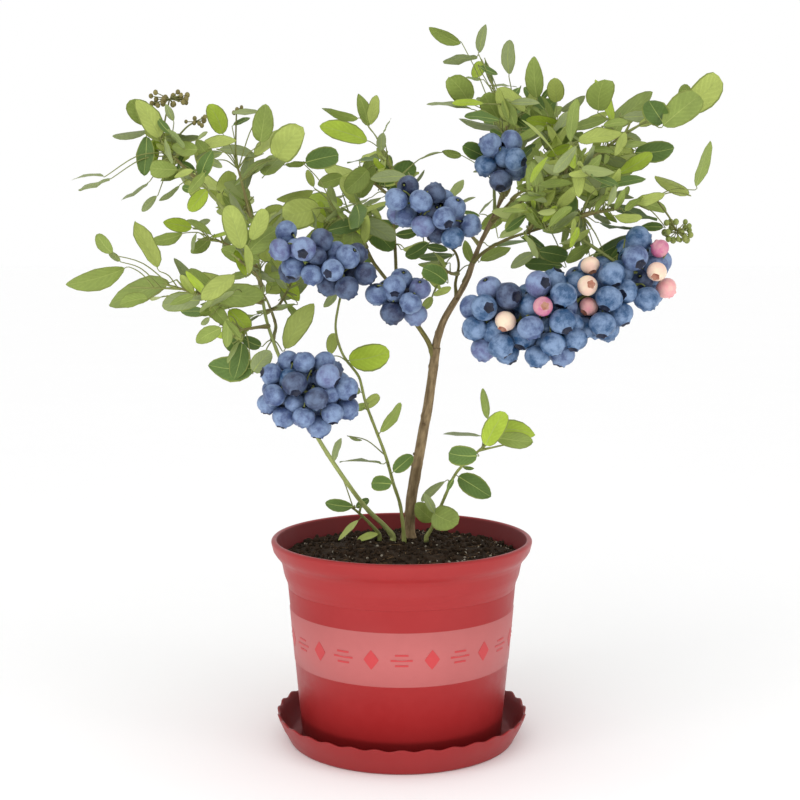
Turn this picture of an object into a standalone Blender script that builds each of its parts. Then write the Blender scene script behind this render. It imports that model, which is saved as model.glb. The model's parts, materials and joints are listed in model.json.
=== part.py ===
"""A blueberry bush in fruit, in a banded plastic pot that stands in a scalloped saucer.

Blender 4.5, metres, +Z up. The front of the pot faces -Y, and the origin is the centre of
the saucer's flat underside. Sizes and places are written in millimetres and turned into
metres where a shape is made. Run it from Blender's text editor, or with
blender --background --python part.py.
"""

import math
import random
from collections import namedtuple

import bmesh
import bpy
import numpy as np
from mathutils import Vector

MM = 0.001

SPECK_VOLUME = 1e-9

Leaf = namedtuple("Leaf", "root axis side out length")
Shoot = namedtuple("Shoot", "way heading leaf")

# Points that a smooth way takes between two of its named places, and the straight piece
# that it starts with where it stands on the soil or on a limb's tip
STEPS_PER_SPAN = 2
FOOT_LENGTH = 5.0

# Space kept between neighbouring solids, and between leaves and what they grow past
GAP = 0.3
SHOOT_CLEARANCE = 2.5
LEAF_CLEARANCE = 1.4
OWN_MARGIN = 1.8

# Pot: a rolled lip on a collar, a tapering wall and a raised band
POT_STEPS = 40
POT_LIP_RADIUS = 115.0
POT_HEIGHT = 180.0
POT_LIP_ROLL = 2.6
POT_FOOT_RADIUS = 88.9
POT_WALL = 2.0
POT_FLOOR = 2.2
POT_TAPER = 0.0855
BAND_LOW = 73.0
BAND_HIGH = 119.0
BAND_RISE = 0.4

# Saucer: a flat foot and a flaring wall with a waved edge
SAUCER_STEPS = 64
SAUCER_RIM_RADIUS = 110.8
SAUCER_FOOT_RADIUS = 100.3
SAUCER_HEIGHT = 24.0
SAUCER_FLOOR = 2.0
SAUCER_WAVES = 32
WAVE_RISE = 1.0
WAVE_FLARE = 0.5

# Soil: level where the stems come up, and sloping down to the pot
SOIL_TOP = 172.0
SOIL_EDGE = 164.0
SOIL_LEVEL_RADIUS = 44.0

# Leaves and twigs
LEAF_LENGTH = (40.0, 56.0)
LEAF_WIDTH = 0.5
LEAF_WIDEST = 0.42
LEAF_THICKNESS = 0.03
LEAF_SPACING = 12.0
STEM_LEAVES = (0.5, 3)
LEAF_SPREAD = 52.0
LEAF_ROOT_DEPTH = 0.6
LEAF_TRIES = 4
BLADE_SPACE = 0.8
STEM_RADIUS = (2.0, 1.6)
SHOOT_RADIUS = (1.2, 1.1)
FACING = (0.0, -0.62, 0.72)
FACING_SPREAD = 0.55

# Fruit
BERRY_RADIUS = (8.9, 10.2)
BERRY_SPACE = 0.5
BERRY_SWELL = 1.06
STALK_RADIUS = (1.7, 1.3)
PEDICEL_RADIUS = 0.7
GOLDEN_ANGLE = math.pi * (3.0 - math.sqrt(5.0))

# Each limb: the limb it leaves, its radius at both ends, its number of sides and its way
# through the crown. A limb that leaves another's side starts on that one's axis; one with
# a place of 1 goes on from the other's tip.
LIMBS = {
    "trunk": dict(
        parent=None, radii=(4.9, 4.2), flare=3.0, sides=8,
        way=[(6, 30, 172.3), (10, 26, 217), (17, 20, 259), (24, 12, 300), (30, 5, 347)]),
    "bough_right": dict(
        parent="trunk", at=1.0, radii=(4.0, 2.4), sides=6,
        way=[(35, 2, 367), (41, 0, 379), (50, 0, 394), (58, 2, 409), (63, 6, 424),
             (72, 12, 445), (82, 18, 465), (92, 25, 482)]),
    "bough_left": dict(
        parent="trunk", radii=(3.0, 1.9), sides=6, also_clear=["bough_right"],
        way=[(29, 7, 336), (23, 2, 352), (12, -6, 369), (-1, -8, 387), (-10, 0, 402),
             (-24, 8, 420), (-32, 14, 436)]),
    "bough_centre": dict(
        parent="bough_right", radii=(2.4, 1.7), sides=6,
        way=[(48, 0, 391), (47, 10, 403), (50, 14, 418), (47, 17, 430), (38, 20, 438),
             (27, 21, 444), (16, 22, 450)]),
    "bough_low": dict(
        parent="bough_right", radii=(2.6, 1.7), sides=6,
        way=[(62, 5, 421), (72, -6, 431), (90, -20, 441), (108, -34, 447), (131, -48, 454),
             (150, -58, 460)]),
    "bough_outer": dict(
        parent="bough_right", radii=(2.4, 1.6), sides=6,
        way=[(78, 16, 457), (90, 10, 464), (104, 4, 473), (124, -2, 486), (142, -10, 497),
             (160, -18, 508)]),
    "bough_back": dict(
        parent="bough_right", radii=(2.4, 1.7), sides=6,
        way=[(55, 1, 404), (60, 20, 416), (70, 48, 436), (86, 76, 460), (104, 96, 480)]),
    "bough_back_left": dict(
        parent="bough_left", radii=(2.1, 1.6), sides=6,
        way=[(-6, -4, 395), (-5, 22, 410), (-6, 52, 434), (-8, 80, 462), (-12, 98, 480)]),
    "left_stem": dict(
        parent=None, radii=(2.8, 1.7), flare=0.8, sides=6,
        way=[(-8, 14, 172.3), (-17, 6, 190), (-31, -5, 206), (-52, -20, 238),
             (-77, -30, 281), (-101, -25, 332), (-117, -8, 372), (-123, 3, 408),
             (-128, 10, 445)]),
    "bough_left_high": dict(
        parent="left_stem", radii=(1.9, 1.5), sides=6,
        way=[(-126, 7, 430), (-138, 2, 444), (-153, -1, 466), (-166, -3, 482),
             (-178, -5, 494)]),
}

# Each mass of leaves: its carrier and how far along that its stem starts, the way of the
# stem to its hub, and a fan of shoots. Angles are degrees from +X towards +Z, seen from
# the front; reach is the length from the hub to the leaf tips at the fan's two ends, and
# depth how far the tips lie before and behind the hub. A lead shoot reaches further.
MASSES = {
    "leaves_top": dict(
        carrier="bough_right", at=1.0, stem=[(97, 30, 515), (101, 30, 566)],
        fan=(56, 150), reach=(40, 92), count=4, depth=14),
    "leaves_top_low": dict(
        carrier="bough_right", at=0.96, stem=[(88, 14, 502), (90, 2, 538)],
        fan=(22, 172), reach=(58, 72), count=5, depth=16),
    "leaves_upper_right": dict(
        carrier="bough_outer", at=1.0, stem=[(176, -20, 520), (191, -20, 531)],
        fan=(-24, 122), reach=(42, 52), count=4, depth=22, lead=(30, 94)),
    "leaves_right_low": dict(
        carrier="bough_low", at=1.0, stem=[(180, -54, 466), (205, -44, 471)],
        fan=(-42, 112), reach=(40, 38), count=4, depth=20, lead=(46, 76)),
    "leaves_core_high": dict(
        carrier="bough_outer", at=0.6, stem=[(128, 10, 505), (134, 16, 530)],
        fan=(8, 168), reach=(46, 48), count=5, depth=20),
    "leaves_core_low": dict(
        carrier="bough_low", at=0.55, stem=[(112, -48, 458), (116, -54, 468)],
        fan=(-76, 166), reach=(48, 56), count=6, depth=16),
    "leaves_centre_top": dict(
        carrier="bough_centre", at=1.0, stem=[(4, 22, 470), (-12, 20, 508)],
        fan=(86, 192), reach=(58, 50), count=5, depth=16, lead=(4, 64)),
    "leaves_centre": dict(
        carrier="bough_left", at=1.0, stem=[(-44, 18, 450), (-58, 18, 464)],
        fan=(-38, 206), reach=(52, 52), count=6, depth=16),
    "leaves_centre_back": dict(
        carrier="bough_back_left", at=0.55, stem=[(-30, 62, 452), (-46, 68, 466)],
        fan=(-30, 210), reach=(50, 50), count=5, depth=20),
    "leaves_left_inner": dict(
        carrier="left_stem", at=1.0, stem=[(-134, 12, 470), (-143, 15, 504)],
        fan=(-20, 142), reach=(60, 48), count=5, depth=18, lead=(6, 88)),
    "leaves_left_outer": dict(
        carrier="bough_left_high", at=1.0, stem=[(-190, -5, 506), (-201, -5, 517)],
        fan=(28, 262), reach=(44, 52), count=6, depth=14, lead=(196, 86)),
    "leaves_left_mid": dict(
        carrier="left_stem", at=0.81, stem=[(-146, -8, 390), (-172, -16, 394), (-192, -20, 400)],
        fan=(84, 206), reach=(48, 60), count=4, depth=18, lead=(179, 92)),
    "leaves_left_low": dict(
        carrier="left_stem", at=0.74, stem=[(-124, -24, 366), (-138, -35, 364)],
        fan=(142, 262), reach=(48, 44), count=4, depth=14),
    "leaves_left_row": dict(
        carrier="left_stem", at=0.9, stem=[(-140, 14, 430), (-163, 15, 441)],
        fan=(100, 282), reach=(34, 38), count=4, depth=14, lead=(176, 58)),
    "leaves_left_heart": dict(
        carrier="left_stem", at=0.78, stem=[(-108, 16, 384), (-98, 32, 404)],
        fan=(-80, 120), reach=(44, 44), count=5, depth=14),
    "leaves_back_right": dict(
        carrier="bough_back", at=1.0, stem=[(122, 112, 492), (140, 124, 500)],
        fan=(-20, 150), reach=(58, 56), count=5, depth=30, lead=(20, 80)),
    "leaves_back_top": dict(
        carrier="bough_back", at=0.72, stem=[(98, 88, 505), (104, 92, 536)],
        fan=(20, 160), reach=(48, 52), count=5, depth=26),
    "leaves_back_middle": dict(
        carrier="bough_back", at=0.45, stem=[(52, 84, 460), (44, 104, 474)],
        fan=(-60, 200), reach=(46, 46), count=5, depth=26),
    "leaves_back_left": dict(
        carrier="bough_back_left", at=1.0, stem=[(-22, 116, 492), (-32, 130, 500)],
        fan=(-20, 200), reach=(50, 54), count=5, depth=28),
    "leaves_back_far_left": dict(
        carrier="left_stem", at=0.95, stem=[(-132, 50, 452), (-146, 84, 474), (-154, 100, 484)],
        fan=(-30, 220), reach=(52, 54), count=5, depth=26),
    "leaves_back_low_left": dict(
        carrier="left_stem", at=0.7, stem=[(-112, 24, 366), (-122, 60, 384), (-128, 76, 392)],
        fan=(20, 230), reach=(44, 48), count=5, depth=22),
    "leaves_front_left": dict(
        carrier="left_stem", at=0.86, stem=[(-124, -30, 412), (-134, -62, 424)],
        fan=(60, 230), reach=(44, 46), count=5, depth=22),
    "leaves_front_right": dict(
        carrier="bough_outer", at=0.76, stem=[(136, -46, 496), (134, -78, 502)],
        fan=(-10, 190), reach=(46, 48), count=5, depth=22),
    "leaves_front_centre": dict(
        carrier="bough_centre", at=0.3, stem=[(42, -8, 412), (32, -20, 418)],
        fan=(200, 330), reach=(34, 34), count=3, depth=8, leaf=(26, 34)),
    "sprig_middle": dict(
        carrier=None, at=0.0,
        stem=[(2, 8, 172.3), (-1, 5, 206), (-7, 0, 226), (-15, -8, 256), (-31, -12, 299),
              (-37, -14, 323), (-50, -16, 341), (-57, -14, 366), (-52, -8, 395)],
        count=0, stem_leaves=(0.24, 7), leaf=(30, 40)),
    "sprig_right": dict(
        carrier=None, at=0.0,
        stem=[(22, 12, 172.3), (27, 10, 186), (40, 0, 220), (50, -8, 241), (75, -18, 266)],
        fan=(100, 4), reach=(46, 48), count=3, depth=8, stem_leaves=(0.12, 6), leaf=(30, 42)),
    "sprig_base": dict(
        carrier=None, at=0.0,
        stem=[(-20, 18, 172.3), (-24, 14, 184), (-36, 6, 198), (-44, 0, 206)],
        fan=(140, 60), reach=(26, 26), count=2, depth=6, stem_leaves=(0.3, 3), leaf=(24, 32)),
}

# Each fruit cluster: its carrier, and its lobes along the stalk. A lobe is a shell of
# berries round a place on the stalk: its half sizes, its tilt seen from the front, the
# number of berries, and how far they go round to the back, from 0 at the widest to 1.
FRUIT = {
    "fruit_top": dict(
        carrier="bough_right", at=0.86,
        lobes=[dict(centre=(85, -16, 508), half=(12, 9, 15), tilt=0, count=6)]),
    "fruit_centre": dict(
        carrier="bough_centre", at=0.62,
        lobes=[dict(centre=(25, -35, 463), half=(31, 10, 12), tilt=-30, count=11)]),
    "fruit_left": dict(
        carrier="sprig_middle", at=1.0,
        lobes=[dict(centre=(-68, -46, 422), half=(38, 11, 14), tilt=-27, count=11)]),
    "fruit_middle": dict(
        carrier="bough_left", at=0.5,
        lobes=[dict(centre=(-1, -42, 392), half=(18, 9, 13), tilt=-24, count=7)]),
    "fruit_low_left": dict(
        carrier="left_stem", at=0.5,
        lobes=[dict(centre=(-78, -66, 314), half=(34, 18, 27), tilt=-10, count=15)]),
    "fruit_right": dict(
        carrier="bough_low", at=0.8,
        lobes=[dict(centre=(198, -70, 414), half=(20, 14, 26), tilt=0, count=7),
               dict(centre=(158, -76, 393), half=(24, 18, 28), tilt=0, count=11),
               dict(centre=(120, -78, 375), half=(26, 20, 30), tilt=0, count=13),
               dict(centre=(80, -70, 374), half=(24, 18, 26), tilt=0, count=11)]),
}
SHELL_COVER = 0.15

COLOURS = {
    "pot": ((0.45, 0.035, 0.035), 0.38),
    "saucer": ((0.45, 0.035, 0.035), 0.38),
    "soil": ((0.03, 0.018, 0.010), 0.95),
    "wood": ((0.20, 0.13, 0.07), 0.75),
    "green_stem": ((0.30, 0.36, 0.10), 0.6),
    "leaf": ((0.16, 0.30, 0.05), 0.5),
    "fruit": ((0.08, 0.14, 0.38), 0.55),
}
GREEN_LIMBS = ("left_stem", "bough_left_high")


def clear_scene():
    """Remove everything that the file holds, so that only the bush is left."""
    for obj in list(bpy.data.objects):
        bpy.data.objects.remove(obj, do_unlink=True)


def make_material(name):
    """A plain Principled material in one of the bush's colours."""
    colour, roughness = COLOURS[name]
    material = bpy.data.materials.new(name)
    material.use_nodes = True
    shader = material.node_tree.nodes["Principled BSDF"]
    shader.inputs["Base Color"].default_value = (*colour, 1.0)
    shader.inputs["Roughness"].default_value = roughness
    shader.inputs["Metallic"].default_value = 0.0
    return material


def link_mesh(name, mesh, collection, material=None):
    """Wrap a mesh in an object of its own."""
    obj = bpy.data.objects.new(name, mesh)
    collection.objects.link(obj)
    if material is not None:
        mesh.materials.clear()
        mesh.materials.append(material)
    return obj


def evaluated_mesh(obj):
    """A copy of what the object shows, with its modifiers in it."""
    bpy.context.view_layer.update()
    depsgraph = bpy.context.evaluated_depsgraph_get()
    return bpy.data.meshes.new_from_object(obj.evaluated_get(depsgraph))


def turned_mesh(name, outline, steps, collection):
    """Turn an outline of (radius, height) round the Z axis into a closed mesh."""
    mesh = bpy.data.meshes.new(name)
    bm = bmesh.new()
    points = [bm.verts.new((r * MM, 0.0, z * MM)) for r, z in outline]
    for first, second in zip(points, points[1:]):
        bm.edges.new((first, second))
    bm.to_mesh(mesh)
    bm.free()
    obj = link_mesh(name, mesh, collection)
    screw = obj.modifiers.new("turn", "SCREW")
    screw.steps = steps
    screw.render_steps = steps
    screw.use_merge_vertices = True
    screw.merge_threshold = 0.0001
    return obj


def shade_round(mesh, angle=40.0):
    """Smooth shading that keeps the sharp edges."""
    mesh.shade_smooth()
    mesh.set_sharp_from_angle(angle=math.radians(angle))


def wall_radius(height):
    """The pot wall's outer radius at a height above the ground."""
    return POT_FOOT_RADIUS + POT_TAPER * (height - SAUCER_FLOOR)


def pot_inner_wall():
    """The inside of the pot from the floor up to the lip, as (radius, height)."""
    floor = SAUCER_FLOOR + GAP + POT_FLOOR
    return [
        (POT_FOOT_RADIUS - POT_WALL, floor),
        (wall_radius(130) - POT_WALL, 130),
        (102.4, 150),
        (104.4, 161),
    ]


def make_pot(collection, material):
    """The pot: an inside, a rolled lip, a collar, a tapering wall and a raised band."""
    foot = SAUCER_FLOOR + GAP
    inside = [(0.0, foot + POT_FLOOR)] + pot_inner_wall()
    roll_centre = (POT_LIP_RADIUS - POT_LIP_ROLL, POT_HEIGHT - POT_LIP_ROLL)
    lip = []
    for angle in (180, 120, 60, 0):
        turn = math.radians(angle)
        lip.append((roll_centre[0] + POT_LIP_ROLL * math.cos(turn),
                    roll_centre[1] + POT_LIP_ROLL * math.sin(turn)))
    collar = [(113.2, 169), (106.4, 160.5), (104.4, 148.5), (101.8, 144.0), (100.0, 133)]
    band = [
        (wall_radius(BAND_HIGH), BAND_HIGH + BAND_RISE),
        (wall_radius(BAND_HIGH) + BAND_RISE, BAND_HIGH),
        (wall_radius(BAND_LOW) + BAND_RISE, BAND_LOW),
        (wall_radius(BAND_LOW), BAND_LOW - BAND_RISE),
    ]
    bottom = [(POT_FOOT_RADIUS, foot + 1.5), (POT_FOOT_RADIUS - 1.5, foot), (0.0, foot)]
    obj = turned_mesh("pot", inside + lip + collar + band + bottom, POT_STEPS, collection)
    mesh = evaluated_mesh(obj)
    obj.modifiers.clear()
    obj.data = mesh
    mesh.materials.append(material)
    shade_round(mesh)
    return obj


def make_saucer(collection, material):
    """The saucer, with a wave that grows towards its edge."""
    edge = 1.0
    rim, top, foot = SAUCER_RIM_RADIUS, SAUCER_HEIGHT, SAUCER_FOOT_RADIUS
    outline = [
        (0.0, SAUCER_FLOOR),
        (foot - 4.0, SAUCER_FLOOR),
        (rim - 6.6, 13.0),
        (rim - 2.0 * edge, top),
        (rim, top),
        (rim - 4.6, 12.0),
        (foot + 0.6, 2.0),
        (foot - 1.8, 0.0),
        (0.0, 0.0),
    ]
    obj = turned_mesh("saucer", outline, SAUCER_STEPS, collection)
    mesh = evaluated_mesh(obj)
    obj.modifiers.clear()
    obj.data = mesh
    wave_foot = 12.0 * MM
    for vertex in mesh.vertices:
        share = (vertex.co.z - wave_foot) / (SAUCER_HEIGHT * MM - wave_foot)
        if share <= 0.0:
            continue
        wave = share * math.cos(SAUCER_WAVES * math.atan2(vertex.co.y, vertex.co.x))
        radius = math.hypot(vertex.co.x, vertex.co.y)
        grow = 1.0 + WAVE_FLARE * MM * wave / radius
        vertex.co.x *= grow
        vertex.co.y *= grow
        vertex.co.z += WAVE_RISE * MM * wave
    mesh.materials.append(material)
    shade_round(mesh)
    return obj


def make_soil(collection, material):
    """The soil fills the pot, level round the stems and lower at the pot's wall."""
    side_gap = 0.4
    floor = SAUCER_FLOOR + GAP + POT_FLOOR + GAP
    wall = [(r - side_gap, z) for r, z in reversed(pot_inner_wall()) if 10.0 < z < SOIL_EDGE]
    low_radius = POT_FOOT_RADIUS - POT_WALL - side_gap
    outline = [(0.0, SOIL_TOP), (SOIL_LEVEL_RADIUS, SOIL_TOP), (85.0, 167.5),
               (wall[0][0] + 0.8, SOIL_EDGE)]
    outline += wall + [(low_radius, floor), (0.0, floor)]
    obj = turned_mesh("soil", outline, POT_STEPS, collection)
    mesh = evaluated_mesh(obj)
    obj.modifiers.clear()
    obj.data = mesh
    mesh.materials.append(material)
    shade_round(mesh)
    return obj


def smooth_way(points, straight_start=False):
    """A Catmull-Rom curve through the points, in millimetres, straight at first if asked."""
    way = [Vector(p) for p in points]
    if len(way) < 3:
        return way
    ends = [way[0] * 2 - way[1]] + way + [way[-1] * 2 - way[-2]]
    result = []
    for a, b, c, d in zip(ends, ends[1:], ends[2:], ends[3:]):
        for step in range(STEPS_PER_SPAN):
            t = step / STEPS_PER_SPAN
            result.append(0.5 * ((2 * b) + (c - a) * t + (2 * a - 5 * b + 4 * c - d) * t * t
                                 + (3 * b - a - 3 * c + d) * t ** 3))
    result.append(way[-1])
    return result[:1] + result[STEPS_PER_SPAN:] if straight_start else result


def lengths_along(way):
    """The distance from the start at every point of a way."""
    total = [0.0]
    for a, b in zip(way, way[1:]):
        total.append(total[-1] + (b - a).length)
    return total


def point_at(way, share):
    """The point and the direction at a share of a way's length."""
    along = lengths_along(way)
    wanted = share * along[-1]
    for i in range(len(way) - 1):
        if along[i + 1] >= wanted - 1e-9:
            span = along[i + 1] - along[i]
            t = (wanted - along[i]) / span
            return way[i].lerp(way[i + 1], t), (way[i + 1] - way[i]).normalized()
    return way[-1].copy(), (way[-1] - way[-2]).normalized()


def taper(way, radii, flare=0.0):
    """A radius for each point: an even taper, with a flare over the first tenth."""
    along = lengths_along(way)
    result = []
    for distance in along:
        share = distance / along[-1]
        root = max(0.0, 1.0 - share / 0.1)
        result.append(radii[0] + (radii[1] - radii[0]) * share + flare * root * root)
    return result


def triangle_section(collection):
    """A three-sided outline of unit radius, which twigs are swept with."""
    curve = bpy.data.curves.new("twig_section", "CURVE")
    curve.dimensions = "2D"
    spline = curve.splines.new("POLY")
    spline.points.add(2)
    spline.use_cyclic_u = True
    for i, point in enumerate(spline.points):
        turn = math.radians(90 + 120 * i)
        point.co = (math.cos(turn), math.sin(turn), 0.0, 1.0)
    obj = bpy.data.objects.new("twig_section", curve)
    obj.hide_render = True
    obj.display_type = "WIRE"
    collection.objects.link(obj)
    return obj


def tube_mesh(name, way, radii, sides, collection, section):
    """A closed tapering tube along a way: a curve with filled caps, welded into a mesh."""
    curve = bpy.data.curves.new(name, "CURVE")
    curve.dimensions = "3D"
    curve.use_fill_caps = True
    if sides == 3:
        curve.bevel_mode = "OBJECT"
        curve.bevel_object = section
    else:
        curve.bevel_depth = 1.0
        curve.bevel_resolution = (sides - 4) // 2
    spline = curve.splines.new("POLY")
    spline.points.add(len(way) - 1)
    for point, place, radius in zip(spline.points, way, radii):
        point.co = (*(place * MM), 1.0)
        point.radius = radius * MM
    obj = bpy.data.objects.new(name + "_way", curve)
    collection.objects.link(obj)
    mesh = evaluated_mesh(obj)
    mesh.name = name
    bpy.data.objects.remove(obj, do_unlink=True)
    weld(mesh)
    return mesh


def weld(mesh):
    """Join points that lie on each other, and turn every face outwards."""
    bm = bmesh.new()
    bm.from_mesh(mesh)
    bmesh.ops.remove_doubles(bm, verts=bm.verts, dist=0.000002)
    bmesh.ops.dissolve_degenerate(bm, edges=bm.edges, dist=0.000001)
    bmesh.ops.recalc_face_normals(bm, faces=bm.faces)
    bm.to_mesh(mesh)
    bm.free()


def shells(bm):
    """The joined-up parts of a mesh, as lists of vertices, the smallest first."""
    unseen = set(bm.verts)
    groups = []
    for first in bm.verts:
        if first not in unseen:
            continue
        unseen.remove(first)
        group = [first]
        for vertex in group:
            for edge in vertex.link_edges:
                other = edge.other_vert(vertex)
                if other in unseen:
                    unseen.remove(other)
                    group.append(other)
        groups.append(group)
    return sorted(groups, key=len)


def shell_volume(group):
    """The volume inside a shell, negative where the shell is inside out."""
    volume = 0.0
    for face in {face for vertex in group for face in vertex.link_faces}:
        corners = [vertex.co for vertex in face.verts]
        for second, third in zip(corners[1:], corners[2:]):
            volume += corners[0].dot(second.cross(third)) / 6.0
    return volume


def is_sound(mesh):
    """Whether every edge joins two faces, and no shell of any size is inside out."""
    bm = bmesh.new()
    bm.from_mesh(mesh)
    sound = all(len(edge.link_faces) == 2 for edge in bm.edges)
    sound = sound and all(shell_volume(group) > -SPECK_VOLUME for group in shells(bm))
    bm.free()
    return sound


def apply_boolean(obj, operation, target):
    """Cut the object with another, or join it with a collection, and keep the result."""
    boolean = obj.modifiers.new(operation.lower(), "BOOLEAN")
    boolean.operation = operation
    boolean.solver = "EXACT"
    if isinstance(target, bpy.types.Collection):
        boolean.operand_type = "COLLECTION"
        boolean.collection = target
    else:
        boolean.object = target
    mesh = evaluated_mesh(obj)
    if not is_sound(mesh):
        boolean.solver = "MANIFOLD"
        bpy.data.meshes.remove(mesh)
        mesh = evaluated_mesh(obj)
    obj.modifiers.clear()
    old = obj.data
    obj.data = mesh
    bpy.data.meshes.remove(old)


def drop_scraps(mesh):
    """Keep the largest joined-up part of a mesh."""
    bm = bmesh.new()
    bm.from_mesh(mesh)
    scraps = [vertex for group in shells(bm)[:-1] for vertex in group]
    bmesh.ops.delete(bm, geom=scraps, context="VERTS")
    bm.to_mesh(mesh)
    bm.free()


class Lines:
    """Tapering line pieces in space, and how near a point comes to their surface."""

    def __init__(self):
        self.starts, self.ends, self.radii, self.owners = [], [], [], []

    def add(self, owner, way, radii):
        for a, b, r in zip(way, way[1:], radii):
            self.starts.append(tuple(a))
            self.ends.append(tuple(b))
            self.radii.append(r)
            self.owners.append(owner)

    def distances(self, point):
        """The distance from the point to every piece's surface."""
        starts, ends = np.array(self.starts), np.array(self.ends)
        spans = ends - starts
        offset = np.array(point) - starts
        share = np.einsum("ij,ij->i", offset, spans) / np.einsum("ij,ij->i", spans, spans)
        nearest = starts + spans * np.clip(share, 0.0, 1.0)[:, None]
        return np.linalg.norm(np.array(point) - nearest, axis=1) - np.array(self.radii)

    def clearance(self, point, leave_out=()):
        """The distance to the nearest piece whose owner isn't left out."""
        if not self.starts:
            return math.inf
        keep = np.array([owner not in leave_out for owner in self.owners])
        if not keep.any():
            return math.inf
        return float(self.distances(point)[keep].min())


def way_from(points, parent_way=None, share=None):
    """A smooth way up from the soil, on from a parent's tip or out of its side."""
    points = [Vector(p) for p in points]
    if parent_way is None:
        foot = [points[0], points[0] + Vector((0.0, 0.0, FOOT_LENGTH))]
        return smooth_way(foot + points[1:], straight_start=True)
    if share is None:
        return smooth_way(points)
    place, heading = point_at(parent_way, share)
    if share < 1.0:
        return smooth_way([place] + points)
    foot = [place + heading * GAP, place + heading * FOOT_LENGTH]
    return smooth_way(foot + points, straight_start=True)


def berry_shell(name, lobe, rng):
    """Berries set evenly over the front of a shell, as [place, radius, lobe centre]."""
    centre = Vector(lobe["centre"])
    tilt = math.radians(lobe["tilt"])
    half = lobe["half"]
    berries = []
    for k in range(lobe["count"]):
        forward = 1.0 - (k + 0.5) / lobe["count"] * (1.0 + SHELL_COVER)
        round_about = math.sqrt(1.0 - forward * forward)
        turn = k * GOLDEN_ANGLE
        x = half[0] * round_about * math.cos(turn)
        z = half[2] * round_about * math.sin(turn)
        offset = Vector((x * math.cos(tilt) - z * math.sin(tilt), -half[1] * forward,
                         x * math.sin(tilt) + z * math.cos(tilt)))
        berries.append([centre + offset, rng.uniform(*BERRY_RADIUS), name])
    return berries


def push_apart(berries, limbs, rounds=80):
    """Move the berries off each other and off the limbs."""
    for _ in range(rounds):
        moved = False
        for i, first in enumerate(berries):
            for second in berries[i + 1:]:
                apart = second[0] - first[0]
                wanted = first[1] + second[1] + BERRY_SPACE
                if apart.length < wanted - 0.01:
                    push = apart.normalized() * (wanted - apart.length) * 0.52
                    first[0] -= push
                    second[0] += push
                    moved = True
            short = first[1] + BERRY_SPACE - limbs.clearance(first[0])
            if short > 0.0:
                first[0] += Vector((0.0, -1.0, -0.2)).normalized() * short
                moved = True
        if not moved:
            return


def nearest_on(way, place):
    """The point of a way that lies nearest to a place."""
    best = None
    for a, b in zip(way, way[1:]):
        span = b - a
        share = max(0.0, min(1.0, (place - a).dot(span) / span.length_squared))
        point = a + span * share
        if best is None or (point - place).length < (best - place).length:
            best = point
    return best


def stalk_places(lobes, start):
    """The places that a cluster's stalk runs through on its way along its lobes."""
    points = [start]
    for lobe in lobes:
        centre = Vector(lobe["centre"])
        tilt = math.radians(lobe["tilt"])
        reach = Vector((math.cos(tilt), 0, math.sin(tilt))) * lobe["half"][0] * 0.5
        if (centre + reach - points[-1]).length < (centre - reach - points[-1]).length:
            reach = -reach
        points += [centre - reach, centre + reach]
    return points[1:]


def half_width(share, length):
    """Half the width of a leaf at a share of its length."""
    rise = share / LEAF_WIDEST
    fall = (1.0 - share) / (1.0 - LEAF_WIDEST)
    return max(0.0, min(rise, fall)) * LEAF_WIDTH * 0.5 * length


def draw_leaf(place, along, swing, size, rng):
    """A leaf that leaves a twig at a place, swung off the twig's direction."""
    across = Vector(FACING).cross(along).normalized()
    turn = math.radians(swing + rng.uniform(-12.0, 12.0) * (1.0 if swing else 0.5))
    axis = along * math.cos(turn) + across * math.sin(turn)
    if swing:
        axis += Vector((0.0, rng.uniform(-0.35, 0.35), rng.uniform(-0.25, 0.1)))
    axis.normalize()
    facing = Vector(FACING) + Vector([rng.uniform(-FACING_SPREAD, FACING_SPREAD) for _ in "xyz"])
    side = axis.cross(facing).normalized()
    return Leaf(place, axis, side, side.cross(axis).normalized(), rng.uniform(*size))


def leaf_points(leaf):
    """Places on a leaf's rib and edges, past its root."""
    places = []
    for share in (0.2, 0.42, 0.6, 0.8):
        rib = leaf.root + leaf.axis * leaf.length * share
        wide = leaf.side * half_width(share, leaf.length)
        places += [rib, rib + wide, rib - wide]
    places.append(leaf.root + leaf.axis * leaf.length)
    return places


def crosses(first, second):
    """Whether one leaf passes through the other's blade, or lies on it."""
    heights = []
    for place in leaf_points(first):
        offset = place - second.root
        share = offset.dot(second.axis) / second.length
        beside = abs(offset.dot(second.side))
        if 0.0 < share < 1.0 and beside < half_width(share, second.length) + BLADE_SPACE:
            heights.append(offset.dot(second.out))
    return bool(heights) and min(heights) < BLADE_SPACE and max(heights) > -BLADE_SPACE


def shoot_tips(spec, rng):
    """The tips of a mass's shoots from its hub: its fan, and its lead where it has one."""
    tips = []
    for k in range(spec["count"]):
        share = k / max(1, spec["count"] - 1)
        angle = spec["fan"][0] + (spec["fan"][1] - spec["fan"][0]) * share
        reach = spec["reach"][0] + (spec["reach"][1] - spec["reach"][0]) * share
        angle = math.radians(angle + rng.uniform(-5.0, 5.0))
        reach *= rng.uniform(0.92, 1.06)
        side = 1.0 if k % 2 else -1.0
        depth = side * spec["depth"] * rng.uniform(0.4, 1.0)
        tips.append(Vector((math.cos(angle) * reach, depth, math.sin(angle) * reach)))
    if "lead" in spec:
        angle = math.radians(spec["lead"][0])
        reach = spec["lead"][1]
        tips.append(Vector((math.cos(angle) * reach, 0.0, math.sin(angle) * reach)))
    return tips


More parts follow.
